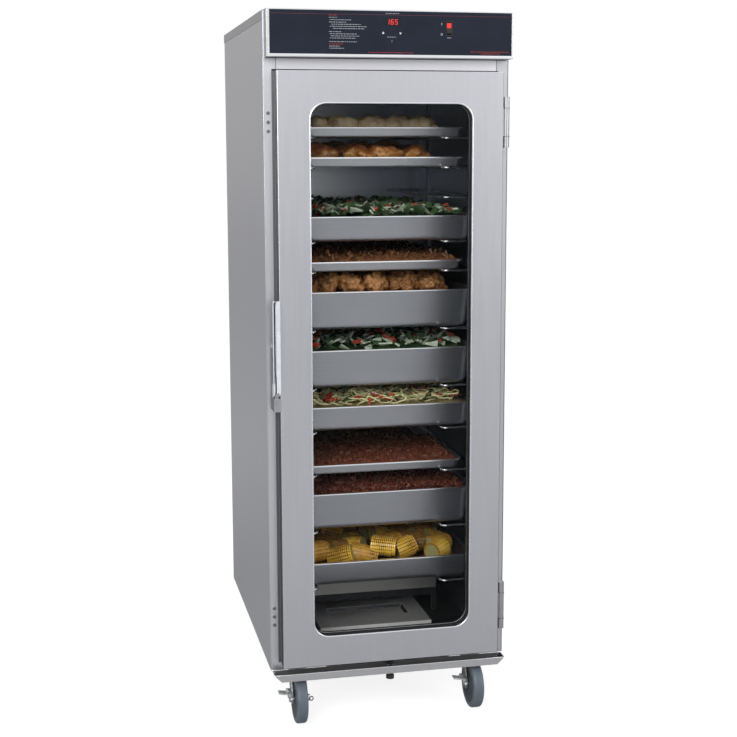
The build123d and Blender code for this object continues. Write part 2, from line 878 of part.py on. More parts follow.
def tray(size, taper, rim, front, bottom):
    top = (size[0] - 2 * rim, size[1] - 2 * rim)
    middle = (0, front + size[1] / 2)
    with BuildSketch(Plane.XY.offset(bottom + size[2])) as body:
        with Locations(middle):
            RectangleRounded(*top, pan_corner)
    extrude(body.sketch, amount=-size[2], taper=taper)
    with BuildSketch(Plane.XY.offset(bottom + size[2] - rim_thickness)) as flange:
        with Locations(middle):
            RectangleRounded(size[0], size[1], pan_corner + rim)
    extrude(flange.sketch, amount=rim_thickness)
    with BuildSketch(Plane.XY.offset(bottom + size[2])) as inside:
        with Locations(middle):
            RectangleRounded(top[0] - 2 * pan_wall, top[1] - 2 * pan_wall, pan_corner - pan_wall)
    extrude(inside.sketch, amount=pan_wall - size[2], taper=taper, mode=Mode.SUBTRACT)


tray_front = front_y + pan_front
pan_fronts = (tray_front, tray_front + deep_pan[1] + pan_spacing)

with BuildPart() as sheet_pans:
    for level in sheet_levels:
        tray(sheet_pan, sheet_pan_taper, sheet_pan_rim, tray_front, pan_floor(level))
save(sheet_pans, "sheet_pans")

with BuildPart() as shallow_food_pans:
    for level in shallow_levels:
        for front in pan_fronts:
            tray(shallow_pan, food_pan_taper, food_pan_rim, front, pan_floor(level))
save(shallow_food_pans, "shallow_food_pans")

with BuildPart() as deep_food_pans:
    for level in deep_levels:
        for front in pan_fronts:
            tray(deep_pan, food_pan_taper, food_pan_rim, front, pan_floor(level))
save(deep_food_pans, "deep_food_pans")


# A closed load that fills a pan from its floor to a little over its rim, with rounded upper edges
def load(size, taper, rim, front, bottom, rise):
    inset = 2 * (rim + pan_wall + food_clearance)
    corner = pan_corner - pan_wall - food_clearance
    with BuildSketch(Plane.XY.offset(bottom + size[2])) as brim:
        with Locations((0, front + size[1] / 2)):
            RectangleRounded(size[0] - inset, size[1] - inset, corner)
    extrude(brim.sketch, amount=pan_wall - size[2], taper=taper)
    extrude(brim.sketch, amount=rise, taper=food_crown)


with BuildPart() as pan_food:
    for level in sheet_levels:
        rise = tray_food_height - sheet_pan[2]
        load(sheet_pan, sheet_pan_taper, sheet_pan_rim, tray_front, pan_floor(level), rise)
    for size, levels in ((shallow_pan, shallow_levels), (deep_pan, deep_levels)):
        for level in levels:
            for front in pan_fronts:
                load(size, food_pan_taper, food_pan_rim, front, pan_floor(level), bowl_food_rise)
save(pan_food, "pan_food")

# Foot of the cavity: water pan with its cover, heater box, element, fan and motor
cover_y = (front_y + cover_front, front_y + cover_front + cover_length)
cover_z = body_z + cover_top
fill_middle = front_y + fill_front + fill_length / 2
with BuildPart() as water_pan_cover:
    slab((-cover_width / 2, cover_width / 2), cover_y, (cover_z - cover_flange, cover_z))
    slab(
        (cover_sheet - cover_width / 2, cover_width / 2 - cover_sheet),
        (cover_y[0] + cover_sheet, cover_y[1] - cover_sheet),
        (cover_z - cover_flange, cover_z - cover_sheet),
        Mode.SUBTRACT,
    )
    with BuildSketch(Plane.XY.offset(cover_z)):
        with Locations((0, fill_middle)):
            Rectangle(fill_width + 2 * cover_sheet, fill_length + 2 * cover_sheet)
    extrude(amount=-fill_depth, taper=fill_slope)
    with BuildSketch(Plane.XY.offset(cover_z)):
        with Locations((0, fill_middle)):
            Rectangle(fill_width, fill_length)
    extrude(amount=-fill_depth, taper=fill_slope, mode=Mode.SUBTRACT)
save(water_pan_cover, "water_pan_cover")

pan_half = cover_width / 2 - cover_sheet - water_pan_inset
pan_y = (cover_y[0] + cover_sheet + water_pan_inset, cover_y[1] - cover_sheet - water_pan_inset)
pan_z = (floor_z + running_gap, cover_z - cover_sheet - running_gap)
with BuildPart() as water_pan:
    slab((-pan_half, pan_half), pan_y, pan_z)
    slab(
        (cover_sheet - pan_half, pan_half - cover_sheet),
        (pan_y[0] + cover_sheet, pan_y[1] - cover_sheet),
        (pan_z[0] + cover_sheet, pan_z[1]),
        Mode.SUBTRACT,
    )
save(water_pan, "water_pan")

heater_half = heater_width / 2
heater_y = (front_y + heater_front, front_y + heater_front + heater_length)
heater_z = (body_z + heater_bottom, body_z + heater_top)
fan_y = front_y + fan_from_front
with BuildPart() as heater_box:
    slab((-heater_half, heater_half), heater_y, heater_z)
    slab(
        (cover_sheet - heater_half, heater_half - cover_sheet),
        (heater_y[0] + cover_sheet, heater_y[1] - cover_sheet),
        (heater_z[0], heater_z[1] - cover_sheet),
        Mode.SUBTRACT,
    )
    for side in (-1, 1):
        for y in (heater_y[0], heater_y[1] - heater_leg):
            leg_x = (side * (heater_half - heater_leg), side * heater_half)
            slab(leg_x, (y, y + heater_leg), (floor_z, heater_z[1]))
    with BuildSketch(Plane.XY.offset(heater_z[1])):
        with Locations((0, fan_y)):
            with GridLocations(2 * grille_slot_width, 1, grille_slots, 1):
                SlotOverall(grille_slot_length, grille_slot_width, rotation=90)
    extrude(amount=-cover_sheet, mode=Mode.SUBTRACT)
save(heater_box, "heater_box")

element_z = body_z + element_height
with BuildPart() as heating_element:
    with BuildLine():
        tail_y = heater_y[0] + element_tail
        coil = FilletPolyline(
            (-element_spread / 2, tail_y, element_z),
            (-element_spread, tail_y, element_z),
            (-element_spread, fan_y + element_spread, element_z),
            (element_spread, fan_y + element_spread, element_z),
            (element_spread, tail_y, element_z),
            (element_spread / 2, tail_y, element_z),
            radius=5 * element_radius,
        )
    with BuildSketch(Plane(origin=coil @ 0, z_dir=coil % 0)):
        Circle(element_radius)
    sweep()
    hanger_y = (fan_y - element_radius, fan_y + element_radius)
    for x in (-element_spread, element_spread):
        hanger = (x - element_radius / 2, x + element_radius / 2)
        slab(hanger, hanger_y, (element_z, heater_z[1] - cover_sheet))
save(heating_element, "heating_element")

fan_z = floor_z + motor_height + fan_gap
with BuildPart() as fan_motor:
    bar((0, fan_y, floor_z), motor_radius, motor_height)
    bar((0, fan_y, floor_z), shaft_radius, motor_height + fan_gap + fan_height)
save(fan_motor, "fan_motor")

with BuildPart() as fan_wheel:
    bar((0, fan_y, fan_z), fan_radius, cover_sheet)
    bar((0, fan_y, fan_z), 3 * shaft_radius, fan_height)
    with BuildSketch(Plane.XY.offset(fan_z)):
        with Locations((0, fan_y)):
            with PolarLocations(fan_radius - blade_length / 2, fan_blades):
                Rectangle(blade_length, cover_sheet, rotation=35)
    extrude(amount=fan_height)
    with BuildSketch(Plane.XY.offset(fan_z + fan_height - cover_sheet)):
        with Locations((0, fan_y)):
            Circle(fan_radius)
            Circle(fan_radius - blade_length, mode=Mode.SUBTRACT)
    extrude(amount=cover_sheet)
    bar((0, fan_y, fan_z), shaft_radius + running_gap, fan_height, mode=Mode.SUBTRACT)
save(fan_wheel, "fan_wheel")

# Drip trough under the door: open on top, with sloped ends, on a tongue between clips
trough_top = body_z - trough_drop
trough_half = trough_width / 2


def trough_outline(grow):
    half = trough_half - grow
    depth = trough_height - grow
    return [
        (-half, trough_top),
        (half, trough_top),
        (half - depth, trough_top - depth),
        (depth - half, trough_top - depth),
    ]


with BuildPart() as drip_trough:
    with BuildSketch(facing(front_y - sheet)):
        Polygon(*trough_outline(0), align=None)
    extrude(amount=trough_reach - sheet)
    with BuildSketch(facing(front_y - 2 * sheet)):
        Polygon(*trough_outline(sheet), align=None)
    extrude(amount=trough_reach - 3 * sheet, mode=Mode.SUBTRACT)
    tongue_half = trough_tongue_width / 2
    slab(
        (-tongue_half, tongue_half),
        (front_y - sheet, front_y + trough_tongue_depth),
        (trough_top - sheet, trough_top),
    )
    bar(
        (0, front_y - stud_reach, trough_top - trough_height),
        stud_radius + running_gap,
        sheet,
        mode=Mode.SUBTRACT,
    )
save(drip_trough, "drip_trough")

knob_top = trough_top - trough_height - running_gap
with BuildPart() as trough_screw:
    knob_low = knob_top - knob_height - 3 * stud_radius
    bar((0, front_y - stud_reach, knob_low), stud_radius, body_z + base_thickness + stud_radius - knob_low)
    bar((0, front_y - stud_reach, knob_top - 3 * stud_radius), stud_collar, 3 * stud_radius)
    bar((0, front_y - stud_reach, body_z + base_thickness + running_gap), stud_collar, stud_radius)
    bar((0, front_y - stud_reach, knob_low), knob_radius, knob_height)
save(trough_screw, "trough_screw")

# Casters: plates with a raceway and kingpin, swivelling forks with their axle, and wheels
corners = {
    "front_left": (-caster_x, front_y + front_caster),
    "front_right": (caster_x, front_y + front_caster),
    "rear_left": (-caster_x, front_y + rear_caster),
    "rear_right": (caster_x, front_y + rear_caster),
}
plate_z = body_z - plate_thickness
crown_top = plate_z - race_height - race_gap
crown_low = crown_top - crown_thickness
leg_inner = hub_width / 2 + leg_gap
leg_outer = leg_inner + leg_thickness

with BuildPart() as caster_plates:
    for x, y in corners.values():
        with BuildSketch(Plane.XY.offset(plate_z)):
            with Locations((x, y)):
                RectangleRounded(plate_length, plate_width, plate_corner)
                with GridLocations(bolt_spread_x, bolt_spread_y, 2, 2):
                    Circle(bolt_radius + screw_gap, mode=Mode.SUBTRACT)
        extrude(amount=plate_thickness)
        bar((x, y, plate_z - race_height), race_radius, race_height)
        bar((x, y, crown_low - leg_thickness), kingpin_radius, plate_z - crown_low + leg_thickness)
        bar((x, y, crown_low - leg_thickness - race_gap), kingpin_head, leg_thickness)
save(caster_plates, "caster_plates")

for name, (x, y) in corners.items():
    wheel_y = y - caster_trail
    braked = name.startswith("front")
    with BuildPart() as fork:
        bar((x, y, crown_low), crown_radius, crown_thickness)
        for side in (-1, 1):
            with BuildSketch(Plane.YZ.offset(x + side * (leg_inner + leg_outer) / 2)):
                with BuildLine():
                    Polyline(
                        (y + crown_radius - leg_top_inset, crown_top),
                        (y - crown_radius + leg_top_inset, crown_top),
                        (wheel_y - axle_boss, wheel_radius),
                        (wheel_y + axle_boss, wheel_radius - leg_rear_drop),
                        close=True,
                    )
                make_face()
                with Locations((wheel_y, wheel_radius)):
                    Circle(axle_boss)
            extrude(amount=leg_thickness / 2, both=True)
        if braked:
            ear_z = wheel_radius + pedal_height
            ear_rise = (ear_z - pedal_ear, ear_z + pedal_ear)
            ear_end = pedal_width / 2 + pedal_ear
            for ear_y in (wheel_y - ear_end, wheel_y + ear_end - ear_thickness):
                ear_x = (x - leg_outer - 2 * pedal_ear, x - leg_outer + ear_overlap)
                slab(ear_x, (ear_y, ear_y + ear_thickness), ear_rise)
            web_x = (x - leg_outer - ear_web, x - leg_outer + ear_overlap)
            slab(web_x, (wheel_y - ear_end, wheel_y + ear_end), ear_rise)
            bar(
                (x - leg_outer - pedal_ear - ear_web, wheel_y + pedal_width, ear_z),
                latch_pin_radius + running_gap,
                2 * pedal_width,
                along_front,
                Mode.SUBTRACT,
            )
        bar((x, y, crown_low), kingpin_radius + running_gap, crown_thickness, mode=Mode.SUBTRACT)
        nut_x = x - leg_outer - nut_height
        bore = axle_radius + running_gap
        bar((x - leg_outer, wheel_y, wheel_radius), bore, 2 * leg_outer, along_x, Mode.SUBTRACT)
        bar((nut_x, wheel_y, wheel_radius), axle_radius, 2 * (leg_outer + nut_height), along_x)
        for end in (nut_x, x + leg_outer):
            with BuildSketch(Plane.YZ.offset(end)):
                with Locations((wheel_y, wheel_radius)):
                    RegularPolygon(nut_across / 2, 6, major_radius=False)
            extrude(amount=nut_height)
    save(fork, f"caster_fork_{name}")

    with BuildPart() as wheel:
        with BuildSketch(Plane.YZ.offset(x - wheel_width / 2)):
            with Locations((wheel_y, wheel_radius)):
                Circle(wheel_radius)
                Circle(wheel_radius - tread_depth, mode=Mode.SUBTRACT)
        extrude(amount=wheel_width)
        tread_edges = wheel.edges().filter_by(GeomType.CIRCLE).group_by(SortBy.RADIUS)[-1]
        fillet(tread_edges, tread_round)
        tyre = wheel.part
    with BuildPart() as core:
        with BuildSketch(Plane.YZ.offset(x - wheel_width / 4)):
            with Locations((wheel_y, wheel_radius)):
                Circle(wheel_radius - tread_depth)
        extrude(amount=wheel_width / 2)
        bar((x - hub_width / 2, wheel_y, wheel_radius), hub_core, hub_width, along_x)
        bar(
            (x - hub_width / 2, wheel_y, wheel_radius),
            axle_radius + running_gap,
            hub_width,
            along_x,
            Mode.SUBTRACT,
        )
    wheel.part = Compound(children=[tyre, core.part])
    save(wheel, f"caster_wheel_{name}")

    if braked:
        with BuildPart() as pedal:
            pivot = (x - leg_outer - pedal_ear - ear_web, wheel_y, wheel_radius + pedal_height)
            pedal_y = (wheel_y - pedal_width / 2 + race_gap, wheel_y + pedal_width / 2 - race_gap)
            with BuildSketch(facing(pedal_y[1])):
                with Locations((pivot[0], pivot[2])):
                    Circle(pedal_barrel)
                with BuildLine():
                    Polyline(
                        (pivot[0], pivot[2] + pedal_thickness / 2),
                        (pivot[0] - pedal_length, pivot[2] + 1.5 * pedal_thickness),
                        (pivot[0] - pedal_length, pivot[2] + pedal_thickness / 2),
                        (pivot[0], pivot[2] - pedal_thickness / 2),
                        close=True,
                    )
                make_face()
            extrude(amount=pedal_y[1] - pedal_y[0])
            bar(
                (pivot[0], wheel_y + pedal_width / 2 + pedal_ear, pivot[2]),
                latch_pin_radius,
                pedal_width + 2 * pedal_ear,
                along_front,
            )
        save(pedal, f"brake_pedal_{name}")

# Screws: six in the left pillar's spare hinge holes, six in the hinge leaves, sixteen caster bolts
with BuildPart() as cabinet_screws:
    for side, seat in ((-1, front_y), (1, front_y - leaf_thickness)):
        for height in screw_heights:
            shank_end = (side * screw_x, seat + screw_length, body_z + height)
            bar(shank_end, screw_radius, screw_length, along_front)
            bar((side * screw_x, seat, body_z + height), screw_head, screw_head_height, along_front)
    for x, y in corners.values():
        with BuildSketch(Plane.XY.offset(plate_z)):
            with Locations((x, y)):
                with GridLocations(bolt_spread_x, bolt_spread_y, 2, 2):
                    RegularPolygon(bolt_across / 2, 6, major_radius=False)
        extrude(amount=-bolt_head_height)
        with BuildSketch(Plane.XY.offset(plate_z)):
            with Locations((x, y)):
                with GridLocations(bolt_spread_x, bolt_spread_y, 2, 2):
                    Circle(bolt_radius)
        extrude(amount=plate_thickness)
save(cabinet_screws, "cabinet_screws")

# Mains inlet in the back panel, with three contacts in a recess
inlet_x_limits = (inlet_x - inlet_width / 2, inlet_x + inlet_width / 2)
inlet_z_limits = (inlet_z - inlet_height / 2, inlet_z + inlet_height / 2)
with BuildPart() as power_inlet:
    slab(inlet_x_limits, (back_y - inlet_depth, back_y), inlet_z_limits)
    slab(
        (inlet_x_limits[0] + inlet_wall, inlet_x_limits[1] - inlet_wall),
        (back_y - inlet_depth + inlet_wall, back_y),
        (inlet_z_limits[0] + inlet_wall, inlet_z_limits[1] - inlet_wall),
        Mode.SUBTRACT,
    )
    for x, z in contact_spots:
        start = (inlet_x + x, back_y - inlet_wall, inlet_z + z)
        bar(start, contact_radius, inlet_depth - 2 * inlet_wall, along_front)
save(power_inlet, "power_inlet")
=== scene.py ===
import bmesh
import bpy
import json
import math
import random
from mathutils import Matrix, Vector, noise


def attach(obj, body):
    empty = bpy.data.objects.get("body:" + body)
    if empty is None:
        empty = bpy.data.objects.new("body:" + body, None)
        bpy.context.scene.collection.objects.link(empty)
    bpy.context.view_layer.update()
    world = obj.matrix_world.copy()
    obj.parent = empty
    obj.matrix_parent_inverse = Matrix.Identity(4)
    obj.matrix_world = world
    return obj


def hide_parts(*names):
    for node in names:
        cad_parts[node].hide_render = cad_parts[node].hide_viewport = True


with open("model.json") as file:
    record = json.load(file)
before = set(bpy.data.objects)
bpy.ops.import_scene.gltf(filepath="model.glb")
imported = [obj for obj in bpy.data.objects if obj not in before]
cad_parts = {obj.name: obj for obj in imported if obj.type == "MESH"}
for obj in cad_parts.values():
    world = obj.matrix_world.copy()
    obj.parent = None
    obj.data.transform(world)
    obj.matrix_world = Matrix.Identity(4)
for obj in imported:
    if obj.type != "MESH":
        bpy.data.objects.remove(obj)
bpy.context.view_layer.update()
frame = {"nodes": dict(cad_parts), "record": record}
nodes = frame["nodes"]
bodies = frame["record"]["behaviour"]["bodies"]
nodeBody = {node: body for body, members in bodies.items() for node in members}
noise.seed_set(11)  # the strands' wandering would follow the clock without it
print("frame loaded,", len(nodes), "nodes")


# Small steps that every piece uses
def deselect():
    bpy.ops.object.select_all(action="DESELECT")


def takeUp(*pieces):  # the last one becomes active
    deselect()
    for piece in pieces:
        piece.select_set(True)
    bpy.context.view_layer.objects.active = pieces[-1]


def openMesh(piece, kind="FACE"):
    if bpy.context.mode != "EDIT_MESH":
        takeUp(piece)
        bpy.ops.object.mode_set(mode="EDIT")
    bpy.ops.mesh.select_mode(type=kind)
    bpy.ops.mesh.select_all(action="DESELECT")


def closeMesh():
    bpy.ops.object.mode_set(mode="OBJECT")


def pickFaces(piece, test):
    form = bmesh.from_edit_mesh(piece.data)
    for face in form.faces:
        face.select_set(test(face))
    bmesh.update_edit_mesh(piece.data)


def pickEdges(piece, test):
    form = bmesh.from_edit_mesh(piece.data)
    for edge in form.edges:
        edge.select_set(test(edge))
    bmesh.update_edit_mesh(piece.data)


def pickAll():
    bpy.ops.mesh.select_all(action="SELECT")


def squeeze(value, centre=(0, 0, 0)):
    bpy.ops.transform.resize(value=value, center_override=centre)


def paint(piece, slot):  # the picked faces take one of the piece's finishes
    piece.active_material_index = slot
    bpy.ops.object.material_slot_assign()


def extrudeBy(x=0.0, y=0.0, z=0.0):
    bpy.ops.mesh.extrude_region_move(TRANSFORM_OT_translate={"value": (x, y, z)})


def applyModifier(piece, kind, **settings):
    modifier = piece.modifiers.new(kind.title(), kind)
    for name, value in settings.items():
        setattr(modifier, name, value)
    takeUp(piece)
    bpy.ops.object.modifier_apply(modifier=modifier.name)


def smooth(piece, angle=35):
    takeUp(piece)
    bpy.ops.object.shade_smooth_by_angle(angle=math.radians(angle))


def seat(piece):  # its place goes into its mesh
    takeUp(piece)
    bpy.ops.object.transform_apply(location=True, rotation=True, scale=True)


def fresh(add, **settings):  # a new simple form from the operator given
    deselect()
    add(**settings)
    return bpy.context.active_object


def joined(pieces, name):
    takeUp(*pieces)
    if len(pieces) > 1:
        bpy.ops.object.join()
    piece = bpy.context.view_layer.objects.active
    piece.name = name
    return piece


def copyOf(piece):
    twin = piece.copy()
    twin.data = piece.data.copy()
    bpy.context.scene.collection.objects.link(twin)
    return twin


def wear(piece, *materials):
    piece.data.materials.clear()
    for material in materials:
        piece.data.materials.append(material)


def handOver(piece, body, material=None, standsFor=()):
    seat(piece)
    if material:
        wear(piece, material)
    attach(piece, body)
    if standsFor:
        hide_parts(*standsFor)
    return piece


def block(x, y, z):  # a cuboid between two limits on each axis
    middle = [(a + b) / 2 for a, b in (x, y, z)]
    piece = fresh(bpy.ops.mesh.primitive_cube_add, size=1, location=middle)
    piece.scale = [abs(b - a) for a, b in (x, y, z)]
    seat(piece)
    return piece


# Camera, at the photograph's viewing place
cameraPlace = {
    "location": (-0.79371, -3.74593, 1.4852),
    "focal": 1381.35,        # pixels of a 737 pixel frame
    "yaw": 12.403,
    "pitch": -8.234,
    "roll": -0.153,
    "shift": -0.03,
    "sensor": 36.0,
    "frame": 737.0,
}


def makeCamera(c=cameraPlace):
    lens = bpy.data.cameras.new("camera")
    lens.sensor_width = c["sensor"]
    lens.lens = c["focal"] / c["frame"] * c["sensor"]
    lens.shift_y = c["shift"]
    lens.clip_start = 0.05
    camera = bpy.data.objects.new("camera", lens)
    bpy.context.scene.collection.objects.link(camera)
    turn = Matrix.Rotation(-math.radians(c["yaw"]), 4, "Z")
    turn = turn @ Matrix.Rotation(math.radians(90 + c["pitch"]), 4, "X")
    turn = turn @ Matrix.Rotation(math.radians(c["roll"]), 4, "Z")
    camera.matrix_world = Matrix.Translation(c["location"]) @ turn
    bpy.context.scene.camera = camera


makeCamera()

# Node graphs: nodes, links and ramps, then a finish with its shader, object coordinates and noise
class Graph:
    def __init__(self, tree):
        self.tree = tree

    def node(self, kind, **settings):
        made = self.tree.nodes.new("ShaderNode" + kind)
        for name, value in settings.items():
            setattr(made, name, value)
        return made

    def link(self, source, target):
        self.tree.links.new(source, target)

    def spread(self, source, low, high, start=0.3, end=0.7):
        ramp = self.node("MapRange")
        limits = {"From Min": start, "From Max": end, "To Min": low, "To Max": high}
        for name, value in limits.items():
            ramp.inputs[name].default_value = value
        self.link(source, ramp.inputs["Value"])
        return ramp.outputs["Result"]


class Finish(Graph):
    def __init__(self, name, colour, roughness, metallic=0.0, **sockets):
        self.material = bpy.data.materials.new(name)
        self.material.use_nodes = True
        super().__init__(self.material.node_tree)
        self.shader = self.tree.nodes["Principled BSDF"]
        self.put("Base Color", (*colour, 1))
        self.put("Roughness", roughness)
        self.put("Metallic", metallic)
        for socket, value in sockets.items():
            self.put(socket.replace("_", " "), value)
        self.coordinates = None

    def put(self, socket, value):
        self.shader.inputs[socket].default_value = value

    def place(self, scale=(1, 1, 1)):
        if self.coordinates is None:
            self.coordinates = self.node("TexCoord")
        mapping = self.node("Mapping")
        mapping.inputs["Scale"].default_value = scale
        self.link(self.coordinates.outputs["Object"], mapping.inputs["Vector"])
        return mapping.outputs["Vector"]

    def axis(self, name):
        ways = self.node("SeparateXYZ")
        self.link(self.place(), ways.inputs[0])
        return ways.outputs[name]

    def noise(self, scale, detail=3.0, rough=0.5):
        texture = self.node("TexNoise")
        texture.inputs["Scale"].default_value = 1.0
        texture.inputs["Detail"].default_value = detail
        texture.inputs["Roughness"].default_value = rough
        self.link(self.place(scale), texture.inputs["Vector"])
        return texture.outputs["Fac"]

    def mix(self, factor, first, second):
        blend = self.node("Mix", data_type="RGBA")
        self.link(factor, blend.inputs["Factor"])
        for socket, value in (("A", first), ("B", second)):
            target = [i for i in blend.inputs if i.name == socket and i.type == "RGBA"][0]
            if isinstance(value, tuple):
                target.default_value = (*value, 1)
            else:
                self.link(value, target)
        return [o for o in blend.outputs if o.type == "RGBA"][0]

    def tint(self, source):
        self.link(source, self.shader.inputs["Base Color"])

    def dull(self, source):
        self.link(source, self.shader.inputs["Roughness"])

    def relief(self, source, strength, distance=0.001):
        bump = self.node("Bump")
        bump.inputs["Strength"].default_value = strength
        bump.inputs["Distance"].default_value = distance
        self.link(source, bump.inputs["Height"])
        self.link(bump.outputs["Normal"], self.shader.inputs["Normal"])


def shade(colour, factor):
    return tuple(c * factor for c in colour)


# Steel sheet: fine grain along one axis, broad cloudy handling marks and, where a low tone is given, painted
# shade that darkens the sheet towards the bottom
def brushedSteel(name, colour, roughness, grain, contrast=0.02, low=None, span=(0.15, 1.8), bump=0.02):
    f = Finish(name, colour, roughness, 1.0)
    fine = f.noise(grain, 2.0, 0.6)
    cloud = f.noise((3.1, 3.1, 2.3), 4.0, 0.55)
    f.dull(f.spread(fine, roughness - 0.02, roughness + 0.03))
    streak = f.mix(f.spread(fine, 0, 1), shade(colour, 1 - contrast), shade(colour, 1 + contrast))
    # painted shade: towards the bottom the sheet takes the darker low tone
    if low:
        rise = f.spread(f.axis("Z"), 0, 1, *span)
        shadedLower = f.mix(f.spread(fine, 0, 1), shade(low, 1 - contrast), shade(low, 1 + contrast))
        streak = f.mix(rise, shadedLower, streak)
    f.tint(f.mix(f.spread(cloud, 0, 0.05), streak, shade(colour, 0.8)))
    f.relief(fine, bump, 0.0002)
    return f.material


# painted reflection: the wall's tone runs from a bright left to a dark right across X
def wallWithPaintedReflection(name, left, right, roughness, grain, limits):
    f = Finish(name, left, roughness, 1.0)
    fine = f.noise(grain, 2.0, 0.6)
    colour = f.mix(f.spread(f.axis("X"), 0, 1, *limits), left, right)
    f.tint(f.mix(f.spread(fine, 0, 0.12), colour, shade(left, 0.3)))
    f.dull(f.spread(fine, roughness - 0.04, roughness + 0.04))
    f.relief(fine, 0.02, 0.0002)
    return f.material


def polishedSteel(name, colour, roughness, metal=1.0):
    f = Finish(name, colour, roughness, metal)
    marks = f.noise((60, 60, 60), 4.0, 0.6)
    f.dull(f.spread(marks, roughness * 0.7, roughness * 1.5))
    f.tint(f.mix(f.spread(marks, 0, 1), shade(colour, 0.93), colour))
    f.relief(marks, 0.04, 0.0002)
    return f.material


def mouldedPlastic(name, colour, roughness, grain=700.0, bump=0.12, **sockets):
    f = Finish(name, colour, roughness, 0.0, **sockets)
    pores = f.noise((grain, grain, grain), 2.0, 0.6)
    worn = f.noise((14, 14, 14), 3.0, 0.6)
    f.dull(f.spread(worn, roughness * 0.9, roughness * 1.15))
    f.tint(f.mix(f.spread(worn, 0, 1), shade(colour, 0.9), shade(colour, 1.08)))
    f.relief(pores, bump, 0.0002)
    return f.material


def clearGlass(name, veil):  # mostly clear, with an even faint reflection
    f = Finish(name, (0.55, 0.62, 0.64), 0.03, 1.0, Alpha=veil)
    smear = f.noise((5, 5, 4), 4.0, 0.6)
    f.dull(f.spread(smear, 0.02, 0.07))
    return f.material


